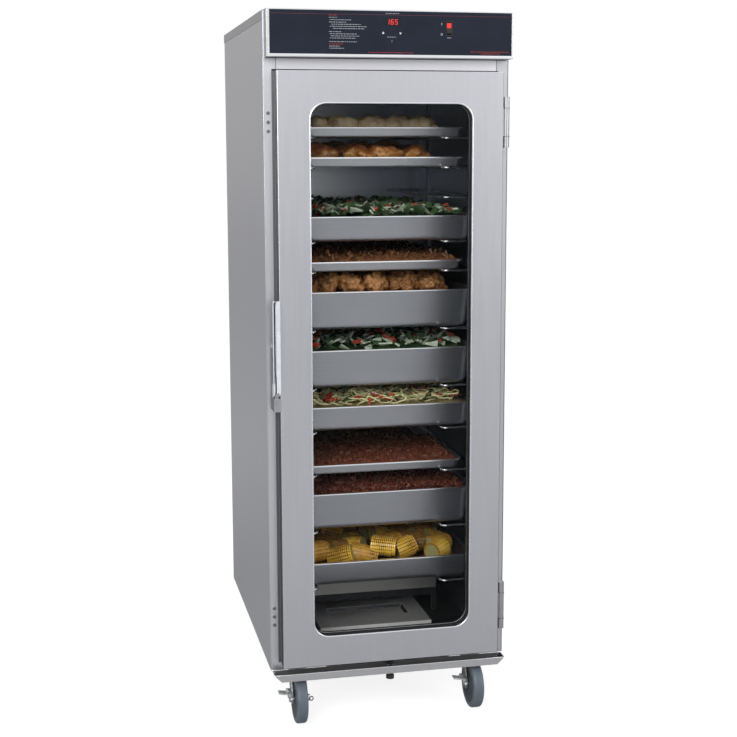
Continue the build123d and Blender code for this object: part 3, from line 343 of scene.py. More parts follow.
upright = (420.0, 420.0, 5.0)      # grain that runs up
across = (5.0, 420.0, 420.0)       # grain that runs across the cabinet
deep = (420.0, 5.0, 420.0)         # grain that runs front to back
finish = {
    "door": brushedSteel("doorSteel", (0.60, 0.605, 0.645), 0.36, upright),
    "body": brushedSteel("bodySteel", (0.57, 0.57, 0.60), 0.36, upright),
    # painted light: a lighter copy of the sheet steel for the pillar fronts, their bright folds and the
    # strike plate
    "frame": brushedSteel("frontLitSteel", (0.74, 0.745, 0.78), 0.36, upright),
    "header": brushedSteel("headerSteel", (0.80, 0.80, 0.84), 0.38, across),
    # painted highlight: a near-white steel for the bright folds of the drip trough
    "edge": brushedSteel("foldHighlightSteel", (0.95, 0.95, 0.98), 0.25, upright, contrast=0.01),
    # painted shade: a near-black copy of the steel for shaded sides, hollows and open ends
    "deepShade": brushedSteel("deepShadeSteel", (0.055, 0.057, 0.062), 0.45, upright),
    # painted shade: a dark copy of the steel for shaded edges, outlines and strips
    "shade": brushedSteel("paintedShadeSteel", (0.20, 0.205, 0.215), 0.45, upright),
    # painted shade: a darker copy of the steel for the sill under the door and the inside of the drip trough
    "sill": brushedSteel("shadedSillSteel", (0.27, 0.27, 0.275), 0.5, across),
    # painted shade: a darker copy of the bezel steel for the hood's sides and underside
    "hoodSideShade": brushedSteel("hoodSideShade", (0.42, 0.42, 0.44), 0.36, upright),
    # painted highlight: a near-white copy of the steel for pan rims, the window lip and the bright door folds
    "rim": brushedSteel("rimHighlightSteel", (0.88, 0.89, 0.93), 0.28, across, contrast=0.02),
    "hinge": brushedSteel("hingeSteel", (0.44, 0.44, 0.46), 0.36, upright),
    "cover": brushedSteel("coverSteel", (0.40, 0.40, 0.40), 0.36, deep),
    "back": brushedSteel("backSteel", (0.50, 0.51, 0.53), 0.42, upright, contrast=0.04),
    # painted reflection on the back wall, bright on the left and dark on the right
    "backWallReflection": wallWithPaintedReflection("backWallPaintedReflection", (0.93, 0.97, 1.0), (0.32, 0.35, 0.40), 0.34, across,
                             (-0.20, 0.16)),
    "well": brushedSteel("wellSteel", (0.115, 0.118, 0.108), 0.42, deep, contrast=0.05),
    "liner": brushedSteel("linerSteel", (0.42, 0.45, 0.50), 0.36, across, contrast=0.05),
    "bezel": brushedSteel("bezelSteel", (0.86, 0.87, 0.89), 0.28, across, contrast=0.02),
    "trough": brushedSteel("troughSteel", (0.62, 0.62, 0.64), 0.34, across),
    "heater": brushedSteel("heaterSteel", (0.50, 0.50, 0.475), 0.42, across, contrast=0.05),
    "rack": brushedSteel("rackSteel", (0.22, 0.23, 0.25), 0.33, upright),
    "pan": brushedSteel("panSteel", (0.44, 0.455, 0.49), 0.36, across, contrast=0.04),
    "sheetPan": brushedSteel("sheetPanAluminium", (0.50, 0.515, 0.54), 0.40, deep, contrast=0.04),
    "chrome": polishedSteel("latchChrome", (0.62, 0.63, 0.66), 0.16),
    "lever": polishedSteel("leverChrome", (0.93, 0.95, 1.0), 0.20, metal=0.35),
    "wire": polishedSteel("wireChrome", (0.50, 0.51, 0.53), 0.18),
    "screw": polishedSteel("screwSteel", (0.24, 0.245, 0.26), 0.30),
    "zinc": polishedSteel("casterZinc", (0.66, 0.67, 0.69), 0.30),
    "pedal": polishedSteel("pedalZinc", (0.80, 0.81, 0.84), 0.30, metal=0.5),
    "fan": polishedSteel("fanAluminium", (0.62, 0.62, 0.62), 0.34),
    "element": polishedSteel("elementSteel", (0.28, 0.21, 0.17), 0.42),
    "overlay": mouldedPlastic("overlayBlack", (0.0135, 0.0175, 0.031), 0.36, bump=0.0,
                              Specular_IOR_Level=0.18),
    "ink": mouldedPlastic("paleInk", (0.38, 0.39, 0.43), 0.5, bump=0.0),
    "redInk": mouldedPlastic("redInk", (0.38, 0.03, 0.02), 0.5, bump=0.0),
    "mark": mouldedPlastic("whiteInk", (0.80, 0.81, 0.84), 0.5, bump=0.0),
    "dimRed": mouldedPlastic("dimRed", (0.13, 0.018, 0.03), 0.5, bump=0.0),
    "digit": mouldedPlastic("litDigit", (0.9, 0.05, 0.03), 0.4, bump=0.0, Emission_Color=(1, 0.06, 0.03, 1),
                            Emission_Strength=0.35),
    "redLens": mouldedPlastic("redLens", (0.80, 0.035, 0.03), 0.2, bump=0.0,
                              Emission_Color=(1, 0.05, 0.04, 1), Emission_Strength=0.25),
    "gap": mouldedPlastic("gapShadow", (0.010, 0.010, 0.011), 0.8, bump=0.0),
    "lens": mouldedPlastic("lensTint", (0.0125, 0.0155, 0.027), 0.34, bump=0.0,
                           Specular_IOR_Level=0.18),
    "water": polishedSteel("standingWater", (0.36, 0.36, 0.35), 0.35, metal=0.2),
    "trayTop": polishedSteel("trayTopSteel", (0.38, 0.38, 0.365), 0.42, metal=0.5),
    # painted highlight: a pale copy of the tray top's steel for its front flange and rounded edges
    "flange": polishedSteel("trayFlangeHighlight", (0.85, 0.85, 0.81), 0.42, metal=0.25),
    "switch": mouldedPlastic("switchBlack", (0.012, 0.012, 0.013), 0.22, bump=0.03),
    "knob": mouldedPlastic("knobBlack", (0.02, 0.02, 0.021), 0.42),
    "gasket": mouldedPlastic("gasketBlack", (0.02, 0.02, 0.021), 0.6),
    "seal": mouldedPlastic("sealGrey", (0.09, 0.09, 0.095), 0.6),
    "inlet": mouldedPlastic("inletBlack", (0.02, 0.02, 0.021), 0.4),
    "motor": mouldedPlastic("motorBlack", (0.03, 0.03, 0.032), 0.35),
    "tyre": mouldedPlastic("tyreGrey", (0.130, 0.160, 0.190), 0.42, grain=400.0, bump=0.08),
    "core": mouldedPlastic("wheelCore", (0.055, 0.065, 0.075), 0.45),
    "board": mouldedPlastic("boardGreen", (0.02, 0.13, 0.05), 0.4),
    "wool": mouldedPlastic("insulationWool", (0.62, 0.55, 0.28), 0.95, grain=300.0, bump=0.8),
    "glass": clearGlass("doorGlass", 0.003),
}
print("finishes made")

# Nodes that keep their own mesh get their finish in their slots
plainNodes = {
    "liner_left": "liner", "liner_right": "liner", "liner_back": "backWallReflection", "liner_top": "liner",
    "liner_floor": "well", "insulation": "wool", "display_window": "lens", "controller_board": "board",
    "hinge_pins": "chrome", "rack_uprights": "rack", "wire_slides": "wire", "heating_element": "element",
    "fan_motor": "motor", "fan_wheel": "fan", "power_inlet": "inlet", "glass_panes": "glass",
    "window_gasket": "gasket", "door_seal": "seal", "latch_pin": "chrome",
    "base_pan": "sill", "cabinet_screws": "screw", "water_pan": "heater", "back_panel": "back",
    "control_overlay": "overlay", "up_key": "overlay", "down_key": "overlay", "set_key": "overlay",
}
for node, kind in plainNodes.items():
    wear(nodes[node], finish[kind])

# Nodes whose folds and edges are rounded: piece name, finish, radius in millimetres, steps and the finish of
# the rounded folds, a painted highlight where it is lighter than the piece
roundedNodes = {
    "side_panel_left": ("leftSide", "body", 0.45, 2, "frame"),
    "side_panel_right": ("rightSide", "body", 0.45, 2, "frame"),
    "top_cover": ("topCover", "cover", 0.5, 2, "cover"),
    "front_header": ("frontHeader", "header", 0.4, 1, "header"),
    "hood_bezel": ("hoodFrame", "bezel", 0.45, 2, "bezel"),
    "rocker_housing": ("switchHousing", "switch", 0.5, 2, "switch"),
    "door_outer_frame": ("doorSkin", "door", 0.5, 2, "door"),
    "door_inner_frame": ("doorLining", "door", 0.4, 1, "door"),
    "hinge_body_leaves": ("bodyLeaves", "hinge", 0.5, 2, "hinge"),
    "hinge_door_leaves": ("doorLeaves", "hinge", 0.5, 2, "hinge"),
    "latch_housing": ("latchBody", "chrome", 0.8, 2, "chrome"),
    "latch_lever": ("pullLever", "lever", 1.1, 3, "lever"),
    "strike_plate": ("strikePlate", "frame", 0.3, 2, "frame"),
    "heater_box": ("heaterCase", "heater", 0.6, 2, "heater"),
    "water_pan_cover": ("waterCover", "trayTop", 0.4, 2, "flange"),
    "drip_trough": ("dripTrough", "trough", 0.5, 2, "edge"),
    "trough_screw": ("thumbscrew", "knob", 0.8, 2, "knob"),
    "caster_plates": ("casterPlates", "zinc", 0.5, 2, "zinc"),
}
corners = ("front_left", "front_right", "rear_left", "rear_right")
for corner in corners:
    roundedNodes["caster_fork_" + corner] = ("fork" + corner.title().replace("_", ""), "zinc", 0.6, 2, "zinc")
for side in ("left", "right"):
    roundedNodes["brake_pedal_front_" + side] = ("pedal" + side.title(), "pedal", 0.6, 2, "pedal")

# Faces of a rounded node that show other finishes, painted shade and painted highlight: which, and where they
# look
otherFaces = {
    # painted shade on the door's left side and on its top and bottom edges
    "door_outer_frame": (("deepShade", lambda n, c: n.x < -0.9 and c.x < -0.27),
                         ("shade", lambda n, c: abs(n.z) > 0.9 and not 0.2 < c.z < 1.64)),
    # painted shade on the lining's window opening, seen through the glass
    "door_inner_frame": (("deepShade", lambda n, c: abs(n.y) < 0.5 and abs(c.x) < 0.25 and 0.2 < c.z < 1.64),),
    # painted shade on the hood's sides and underside
    "hood_bezel": (("hoodSideShade", lambda n, c: abs(n.x) > 0.9 and abs(c.x) > 0.307 or n.z < -0.9),),
    # painted light: the pillars' front faces lighter than the sides
    "side_panel_left": (("frame", lambda n, c: n.y < -0.9 and c.y < -0.36),),
    "side_panel_right": (("door", lambda n, c: n.y < -0.9 and c.y < -0.36),),
    # painted shade inside the drip trough and on its open left end
    "drip_trough": (("sill", lambda n, c: c.y > -0.375 or n.y > 0.5 or n.z > 0.5 and c.z < 0.1486),
                    ("deepShade", lambda n, c: n.x < -0.7)),
    # painted shade on the recess slope, painted highlight on the front flange
    "water_pan_cover": (("deepShade", lambda n, c: 0.4 < n.z < 0.6),
                        ("flange", lambda n, c: n.y < -0.9 and c.y < -0.227)),
    # painted shade in a strip standing for the hollow of the lever's channel
    "latch_lever": (("deepShade", lambda n, c: -0.2988 < c.x < -0.2950 and n.y < -0.3),),
    # painted shade on the lower front of the heater box
    "heater_box": (("deepShade", lambda n, c: c.z < 0.2400 and c.y < 0.1 and n.y < -0.9),),
    # painted shade on the latch body's left and lower faces
    "latch_housing": (("shade", lambda n, c: n.x < -0.7 or n.z < -0.7),),
}

# Planes that part a face first: the painted shade of the lever's hollow on its left side, the painted shade
# on the foot of the heater box
cuts = {
    "latch_lever": (((-0.2988, 0, 0), (1, 0, 0)), ((-0.2950, 0, 0), (1, 0, 0))),
    "heater_box": (((0, 0, 0.2400), (0, 0, 1)),),
}


def mergedCopy(node, name):
    mesh = nodes[node].data.copy()
    piece = bpy.data.objects.new(name, mesh)
    bpy.context.scene.collection.objects.link(piece)
    openMesh(piece, "VERT")
    pickAll()
    bpy.ops.mesh.remove_doubles(threshold=0.00001)
    bpy.ops.mesh.dissolve_limited(angle_limit=math.radians(0.4))
    closeMesh()
    bpy.ops.mesh.customdata_custom_splitnormals_clear()
    return piece


def makeRounded():
    for node, (name, kind, radius, steps, fold) in roundedNodes.items():
        piece = mergedCopy(node, name)
        others = otherFaces.get(node, ())
        wear(piece, *(finish[key] for key in (kind, fold, *(other for other, _ in others))))
        if others:
            openMesh(piece)
            for place, way in cuts.get(node, ()):
                pickAll()
                bpy.ops.mesh.bisect(plane_co=place, plane_no=way)
            for number, (_, test) in enumerate(others):
                pickFaces(piece, lambda face: test(face.normal, face.calc_center_median()))
                paint(piece, 2 + number)
            closeMesh()
        applyModifier(piece, "BEVEL", width=radius / 1000, segments=steps, limit_method="ANGLE",
                      angle_limit=math.radians(32), use_clamp_overlap=True, material=1)
        smooth(piece)
        applyModifier(piece, "WEIGHTED_NORMAL", keep_sharp=True, weight=100)
        handOver(piece, nodeBody[node], None, [node])
    print("folded sheet and castings rounded,", len(roundedNodes))


makeRounded()

# Control panel: digits, arrows, rows of plain dashes and fine lines, all a hair proud of the overlay
panel = {
    "face": -0.4144, "proud": 0.00012, "keyFace": -0.4148,
    "digits": "165", "digitPlace": (-0.0138, 1.7838), "digitSize": (0.0068, 0.0122), "digitStep": 0.0105,
    "stroke": 0.0013, "lean": 0.10,
    "rows": ((1.7970, -0.156, 0.021, "redInk"), (1.7915, -0.156, 0.020, "ink"),
             (1.7860, -0.154, 0.052, "ink"), (1.7805, -0.156, 0.042, "ink"), (1.7755, -0.150, 0.072, "ink"),
             (1.7705, -0.154, 0.090, "ink"), (1.7655, -0.146, 0.078, "ink"), (1.7580, -0.156, 0.030, "ink"),
             (1.7530, -0.154, 0.066, "ink"), (1.7480, -0.152, 0.070, "ink"), (1.7430, -0.154, 0.064, "ink"),
             (1.7345, -0.156, 0.068, "ink"), (1.7290, -0.156, 0.034, "redInk"),
             (1.7240, -0.156, 0.026, "ink"), (1.7190, -0.156, 0.036, "ink"), (1.8030, -0.016, 0.034, "ink"),
             (1.7470, -0.012, 0.022, "ink"), (1.7100, -0.060, 0.114, "redInk"),
             (1.7140, 0.198, 0.098, "redInk"), (1.7095, 0.224, 0.050, "redInk"),
             (1.7470, 0.138, 0.011, "ink")),
    "rowHigh": 0.0014,
    "topLine": (-0.2985, 0.3010, 1.7996, 0.0008),
    "arrows": (("key_up", -0.0225, 0), ("key_down", 0.0203, math.pi)), "arrowHigh": 1.7570,
    "onMark": ((0.1234, 0.1250), (1.7780, 1.7836)), "offMark": (0.1242, 1.7558), "setMark": (-0.0008, 1.7380),
}


def markBlock(x, z, key):
    mark = block(x, (panel["face"] - panel["proud"], panel["face"] + 0.0001), z)
    mark.data.materials.append(finish[key])
    return mark


def rowOfDashes(z, start, length, key, pick):
    marks = []
    x = start
    while x < start + length:
        step = min(pick.uniform(0.0025, 0.0085), start + length - x)
        marks.append(markBlock((x, x + step), (z, z + panel["rowHigh"]), key))
        x += step + 0.0016
    return marks


def sevenStrokes(figure, x, z, w, h, t):  # which strokes of a lit digit are on
    on = {"1": "bc", "5": "afgcd", "6": "afgedc"}[figure]
    middle = z + h / 2
    place = {"a": ((x, x + w), (z + h - t, z + h)), "d": ((x, x + w), (z, z + t)),
             "g": ((x, x + w), (middle - t / 2, middle + t / 2)),
             "f": ((x, x + t), (middle, z + h)), "b": ((x + w - t, x + w), (middle, z + h)),
             "e": ((x, x + t), (z, middle)), "c": ((x + w - t, x + w), (z, middle))}
    return [place[stroke] for stroke in on]


def makePanelMarks():
    pick = random.Random(7)
    marks = []
    for z, start, length, key in panel["rows"]:
        marks += rowOfDashes(z, start, length, key, pick)
    x0, x1, z, high = panel["topLine"]
    marks.append(markBlock((x0, x1), (z, z + high), "dimRed"))
    marks.append(markBlock(*panel["onMark"], "ink"))
    x, z = panel["offMark"]
    ring = disc(0.0028, 0.0006, (x, panel["face"], z), hollow=0.0016)
    ring.data.materials.append(finish["ink"])
    marks.append(ring)
    handOver(joined(marks, "panelMarks"), "cabinet")
    digits = []
    left, middle = panel["digitPlace"]
    w, h = panel["digitSize"]
    for n, figure in enumerate(panel["digits"]):
        corner = left + n * panel["digitStep"]
        for x, z in sevenStrokes(figure, corner, middle - h / 2, w, h, panel["stroke"]):
            digits.append(markBlock(x, z, "digit"))
    display = joined(digits, "litDigits")
    for point in display.data.vertices:
        point.co.x += (point.co.z - middle) * panel["lean"]
    handOver(display, "cabinet")
    for body, x, turn in panel["arrows"]:
        arrow = disc(0.0034, 0.0003, (x, panel["keyFace"], panel["arrowHigh"]), sides=3, turn=turn)
        handOver(arrow, body, finish["mark"])
    x, z = panel["setMark"]
    dot = disc(0.0012, 0.0003, (x, panel["keyFace"], z))
    handOver(dot, "key_set", finish["ink"])
    print("panel marked")


def disc(radius, thick, place, sides=20, turn=0.0, hollow=0.0):  # a thin plate facing the front
    plate = fresh(bpy.ops.mesh.primitive_cylinder_add, vertices=sides, radius=radius, depth=thick,
                  location=place, rotation=(math.pi / 2, -turn, 0))
    seat(plate)
    if hollow:
        openMesh(plate)
        pickFaces(plate, lambda face: abs(face.normal.y) > 0.9)
        bpy.ops.mesh.inset(thickness=radius - hollow)
        bpy.ops.mesh.delete(type="FACE")
        closeMesh()
    return plate


makePanelMarks()

# Lighted rocker: its upper half carries a red window
rocker = {"window": (0.1372, 0.1492), "low": 1.7712, "high": 1.7828, "proud": 0.0003}


def makeRocker(r=rocker):
    piece = mergedCopy("power_rocker", "rockerKey")
    wear(piece, finish["switch"], finish["redLens"])
    openMesh(piece)
    cuts = (((r["window"][0], 0, 0), (1, 0, 0)), ((r["window"][1], 0, 0), (1, 0, 0)),
            ((0, 0, r["low"]), (0, 0, 1)), ((0, 0, r["high"]), (0, 0, 1)))
    for place, way in cuts:
        pickAll()
        bpy.ops.mesh.bisect(plane_co=place, plane_no=way)

    def inWindow(face):
        middle = face.calc_center_median()
        return (face.normal.y < -0.5 and r["window"][0] < middle.x < r["window"][1]
                and r["low"] < middle.z < r["high"])

    openMesh(piece)
    pickFaces(piece, inWindow)
    paint(piece, 1)
    bpy.ops.mesh.inset(thickness=0.0004, depth=r["proud"])
    closeMesh()
    smooth(piece, 30)
    handOver(piece, "rocker", None, ["power_rocker"])


makeRocker()

# Dark joints between the sheets of the front, and a painted shadow line on the header above the door's top:
# X, Y and Z limits of each
joints = {
    "headerSeamLeft": ((-0.2798, -0.2786), (-0.36825, -0.3675), (1.6500, 1.6990)),
    "headerSeamRight": ((0.2786, 0.2798), (-0.36825, -0.3675), (1.6500, 1.6990)),
    "hoodJoint": ((-0.3040, 0.3040), (-0.3686, -0.3675), (1.6975, 1.6990)),
    "doorTopShadow": ((-0.2880, 0.2840), (-0.3692, -0.3675), (1.6670, 1.6718)),
    "troughJoint": ((-0.3000, 0.3000), (-0.3675, -0.3655), (0.1489, 0.1500)),
    "hingeJointLow": ((0.2872, 0.3012), (-0.4153, -0.4000), (0.2577, 0.2587)),
    "hingeJointLowTop": ((0.2872, 0.3012), (-0.4153, -0.4000), (0.3273, 0.3283)),
    "hingeJointHigh": ((0.2872, 0.3012), (-0.4153, -0.4000), (1.5087, 1.5097)),
    "hingeJointHighTop": ((0.2872, 0.3012), (-0.4153, -0.4000), (1.5783, 1.5793)),
}
for name, (x, y, z) in joints.items():
    line = block(x, y, z)
    line.name = name
    handOver(line, "cabinet", finish["gap"])
# painted shadow: a dark strip on the pillar beside the door's left edge
shadowStrip = block((-0.2905, -0.2838), (-0.3690, -0.3675), (0.1700, 1.6718))
shadowStrip.name = "doorShadowStrip"
handOver(shadowStrip, "cabinet", finish["shade"])

water = block((-0.1030, 0.1030), (-0.1495, -0.0765), (0.1892, 0.1904))
water.name = "waterLevel"
handOver(water, "water_tray", finish["water"])

# Rolled lips around the window: body, half width, low, high, middle of X, front, corner radius, wire radius
# and finish; the window lip's bright finish is a painted highlight
lips = {
    "windowLip": ("door", 0.2052, 0.2458, 1.5902, 0.0, -0.4162, 0.0412, 0.0021, "rim"),
    "gasketLip": ("door", 0.2030, 0.2480, 1.5880, 0.0, -0.4060, 0.0400, 0.0012, "gap"),
}


def makeLip(name, body, half, low, high, middle, front, corner, wire, key):
    lip = fresh(bpy.ops.mesh.primitive_plane_add, size=1, location=(middle, front, (low + high) / 2),
                rotation=(math.pi / 2, 0, 0))
    lip.name = name
    lip.scale = (2 * half, high - low, 1)
    seat(lip)
    openMesh(lip, "VERT")
    pickAll()
    bpy.ops.mesh.bevel(offset=corner, segments=10, affect="VERTICES")
    pickAll()
    bpy.ops.mesh.delete(type="ONLY_FACE")
    closeMesh()
    bpy.ops.object.convert(target="CURVE")
    lip.data.bevel_depth = wire
    lip.data.bevel_resolution = 2
    bpy.ops.object.convert(target="MESH")
    smooth(lip, 60)
    handOver(lip, body, finish[key])


for name, shape in lips.items():
    makeLip(name, *shape)

# Thin strips along the folds, painted highlight where bright and painted shade where dark: body, record's
# slot and X, Y, Z limits
folds = {
    "leftPillarFold": ("cabinet", "outer_steel", (-0.3110, -0.3094), (-0.3690, -0.3672), (0.1500, 1.6990)),
    "rightPillarFold": ("cabinet", "outer_steel", (0.3090, 0.3108), (-0.3690, -0.3668), (0.1500, 1.6990)),
    "doorLeftFold": ("door", "door_steel", (-0.2841, -0.2829), (-0.4166, -0.4150), (0.1702, 1.6662)),
    "doorRightFold": ("door", "door_steel", (0.2830, 0.2841), (-0.4165, -0.4150), (0.1702, 1.6662)),
    "doorTopFold": ("door", "door_steel", (-0.2835, 0.2835), (-0.4166, -0.4150), (1.6656, 1.6668)),
    "troughFold": ("trough", "trough_steel", (-0.3062, 0.3062), (-0.4070, -0.4050), (0.1470, 0.1490)),
}
foldHighlightsAndShades = {"leftPillarFold": "frame", "rightPillarFold": "shade", "doorLeftFold": "rim",
             "doorRightFold": "shade", "doorTopFold": "rim", "troughFold": "edge"}
for name, (body, slot, x, y, z) in folds.items():
    fold = block(x, y, z)
    applyModifier(fold, "BEVEL", width=0.0005, segments=3)
    smooth(fold, 60)
    fold.name = name
    handOver(fold, body, finish[foldHighlightsAndShades[name]])

# Wheels: a rounded tyre with fine tread lines on a moulded core
wheel = {"radius": 0.0635, "half": 0.0145, "shoulder": 0.0070, "sides": 64, "wall": 0.0135, "groove": 0.0005,
         "grooves": (-0.0062, -0.0050, -0.0006, 0.0006, 0.0050, 0.0062), "high": 0.0635,
         "core": ((0.0060, 0.0012), (0.0160, -0.0050), (0.0050, 0.0042)),
         "spots": ((-0.235, -0.3561), (0.235, -0.3561), (-0.235, 0.3289), (0.235, 0.3289))}


def makeWheel(w=wheel):
    tyre = fresh(bpy.ops.mesh.primitive_cylinder_add, vertices=w["sides"], radius=w["radius"],
                 depth=2 * w["half"], rotation=(0, math.pi / 2, 0), end_fill_type="NGON")
    seat(tyre)
    wear(tyre, finish["tyre"], finish["core"], finish["gap"])
    openMesh(tyre, "EDGE")
    pickEdges(tyre, lambda edge: len(edge.link_faces) == 2 and any(len(f.verts) > 6 for f in edge.link_faces))
    bpy.ops.mesh.bevel(offset=w["shoulder"], segments=5, affect="EDGES")
    for place in w["grooves"]:
        pickAll()
        bpy.ops.mesh.bisect(plane_co=(place, 0, 0), plane_no=(1, 0, 0))
    pairs = list(zip(w["grooves"][::2], w["grooves"][1::2]))
    openMesh(tyre)
    pickFaces(tyre, lambda face: any(a < face.calc_center_median().x < b for a, b in pairs))
    bpy.ops.mesh.extrude_region_shrink_fatten(TRANSFORM_OT_shrink_fatten={"value": -w["groove"]})
    openMesh(tyre)
    pickFaces(tyre, lambda face: abs(face.normal.x) > 0.9 and len(face.verts) > 20)
    bpy.ops.mesh.inset(thickness=w["wall"] - w["shoulder"])
    bpy.ops.mesh.inset(thickness=0.0012, depth=-0.0010)
    paint(tyre, 2)
    bpy.ops.mesh.inset(thickness=0.0010)
    paint(tyre, 1)
    for thickness, depth in w["core"]:
        bpy.ops.mesh.inset(thickness=thickness, depth=depth)
    closeMesh()
    smooth(tyre, 40)
    return tyre


def setWheels(w=wheel):
    master = makeWheel()
    for corner, (x, y) in zip(corners, w["spots"]):
        piece = copyOf(master)
        piece.name = "wheel_" + corner
        piece.location = (x, y, w["high"])
        node = "caster_wheel_" + corner
        handOver(piece, nodeBody[node], None, [node])
    bpy.data.objects.remove(master)
    print("wheels fitted")


setWheels()

brakeLoop = {"place": (-0.2060, -0.3720, 0.0665), "ring": 0.0050, "wire": 0.0013, "turn": (1.35, 0.25, 0.3)}


def makeBrakeLoop(b=brakeLoop):
    loop = fresh(bpy.ops.mesh.primitive_torus_add, major_segments=28, minor_segments=8,
                 major_radius=b["ring"], minor_radius=b["wire"], location=b["place"], rotation=b["turn"])
    loop.name = "brakeLoop"
    smooth(loop, 80)
    handOver(loop, "swivel_front_left", finish["gap"])


makeBrakeLoop()

# Pans: one of each kind is shaped, then copied to its places on the rack
rack = {"firstFloor": 0.3291, "pitch": 0.0381, "wall": 0.0009}
panKinds = {
    "sheet": {"size": (0.457, 0.660), "depth": 0.0254, "taper": 12.0, "rim": 0.005, "corner": 0.026,
              "foot": 0.005, "curl": 0.0035, "finish": "sheetPan", "node": "sheet_pans",
              "middles": (0.0599,)},
    "shallow": {"size": (0.527, 0.325), "depth": 0.065, "taper": 5.0, "rim": 0.011, "corner": 0.026,
                "foot": 0.012, "curl": 0.0028, "finish": "pan", "node": "shallow_food_pans",
                "middles": (-0.1076, 0.2184)},
    "deep": {"size": (0.527, 0.325), "depth": 0.100, "taper": 5.0, "rim": 0.011, "corner": 0.026,
             "foot": 0.014, "curl": 0.0028, "finish": "pan", "node": "deep_food_pans",
             "middles": (-0.1076, 0.2184)},
}
levels = ((31, "sheet", "rolls"), (29, "sheet", "roast"), (24, "shallow", "leaves"), (22, "sheet", "shreds"),
          (18, "deep", "fried"), (14, "deep", "slaw"), (11, "shallow", "noodles"), (8, "sheet", "mince"),
          (4, "deep", "stew"), (0, "shallow", "corn"))


def panFloor(level):
    return rack["firstFloor"] + rack["pitch"] * level


def shapePan(p):
    wide, long = p["size"][0] / 2 - p["rim"], p["size"][1] / 2 - p["rim"]
    high = p["depth"] - rack["wall"]
    drop = high * math.tan(math.radians(p["taper"]))
    pan = block((-wide, wide), (-long, long), (0, high))
    openMesh(pan)
    pickFaces(pan, lambda face: face.normal.z < -0.9)
    squeeze((1 - drop / wide, 1 - drop / long, 1))
    pickEdges(pan, lambda edge: abs(edge.verts[0].co.z - edge.verts[1].co.z) > high / 2)
    bpy.ops.mesh.bevel(offset=p["corner"], segments=6, affect="EDGES")
    pickFaces(pan, lambda face: face.normal.z > 0.9)
    bpy.ops.mesh.delete(type="FACE")
    openMesh(pan, "EDGE")
    pickEdges(pan, lambda edge: all(v.co.z < 0.0001 for v in edge.verts))
    bpy.ops.mesh.bevel(offset=p["foot"], segments=4, affect="EDGES")
    openMesh(pan, "EDGE")
    pickEdges(pan, lambda edge: all(v.co.z > high - 0.0001 for v in edge.verts))
    bpy.ops.mesh.extrude_region_move()
    squeeze(((wide + p["rim"]) / wide, (long + p["rim"]) / long, 1))
    extrudeBy(z=-p["curl"])
    pickAll()
    bpy.ops.mesh.normals_make_consistent(inside=False)
    # painted highlight: the curled rim takes the bright rim finish
    pickFaces(pan, lambda face: face.calc_center_median().z > high - p["curl"])
    wear(pan, finish[p["finish"]], finish["rim"])
    paint(pan, 1)
    closeMesh()
    applyModifier(pan, "BEVEL", width=0.0012, segments=2, limit_method="ANGLE", angle_limit=math.radians(50))
    applyModifier(pan, "SOLIDIFY", thickness=rack["wall"], offset=-1)
    smooth(pan, 40)
    return pan


def setPans():
    masters = {kind: shapePan(p) for kind, p in panKinds.items()}
    for level, kind, food in levels:
        p = panKinds[kind]
        for spot, middle in zip(("Front", "Back"), p["middles"]):
            pan = copyOf(masters[kind])
            pan.name = f"{kind}Pan{level}{spot}"
            pan.location = (0, middle, panFloor(level))
            handOver(pan, "cabinet", None, [p["node"]])
    for master in masters.values():
        bpy.data.objects.remove(master)
    print("pans set on the rack")


setPans()


# Food finishes: two or three colours mixed by soft noise, with a grain that catches light
def foodFinish(name, main, second, third, size, roughness, bump, grain, crust=None, wet=0.0):
    f = Finish(name, main, roughness, 0.0, Coat_Weight=wet, Coat_Roughness=0.25)
    f.put("Specular IOR Level", 0.4)
    broad = f.noise((size, size, size), 3.0, 0.6)
    fine = f.noise((grain, grain, grain), 4.0, 0.65)
    colour = f.mix(f.spread(broad, 0, 1, 0.38, 0.62), main, second)
    colour = f.mix(f.spread(fine, 0, 1, 0.50, 0.68), colour, third)
    if crust:
        facing = f.node("SeparateXYZ")
        f.link(f.node("NewGeometry").outputs["Normal"], facing.inputs[0])
        colour = f.mix(f.spread(facing.outputs["Z"], 0, 1, 0.1, 0.9), colour, crust)
    f.tint(colour)
    f.dull(f.spread(fine, roughness * 0.8, roughness * 1.2))
    f.relief(fine, bump, 0.002)
    return f.material


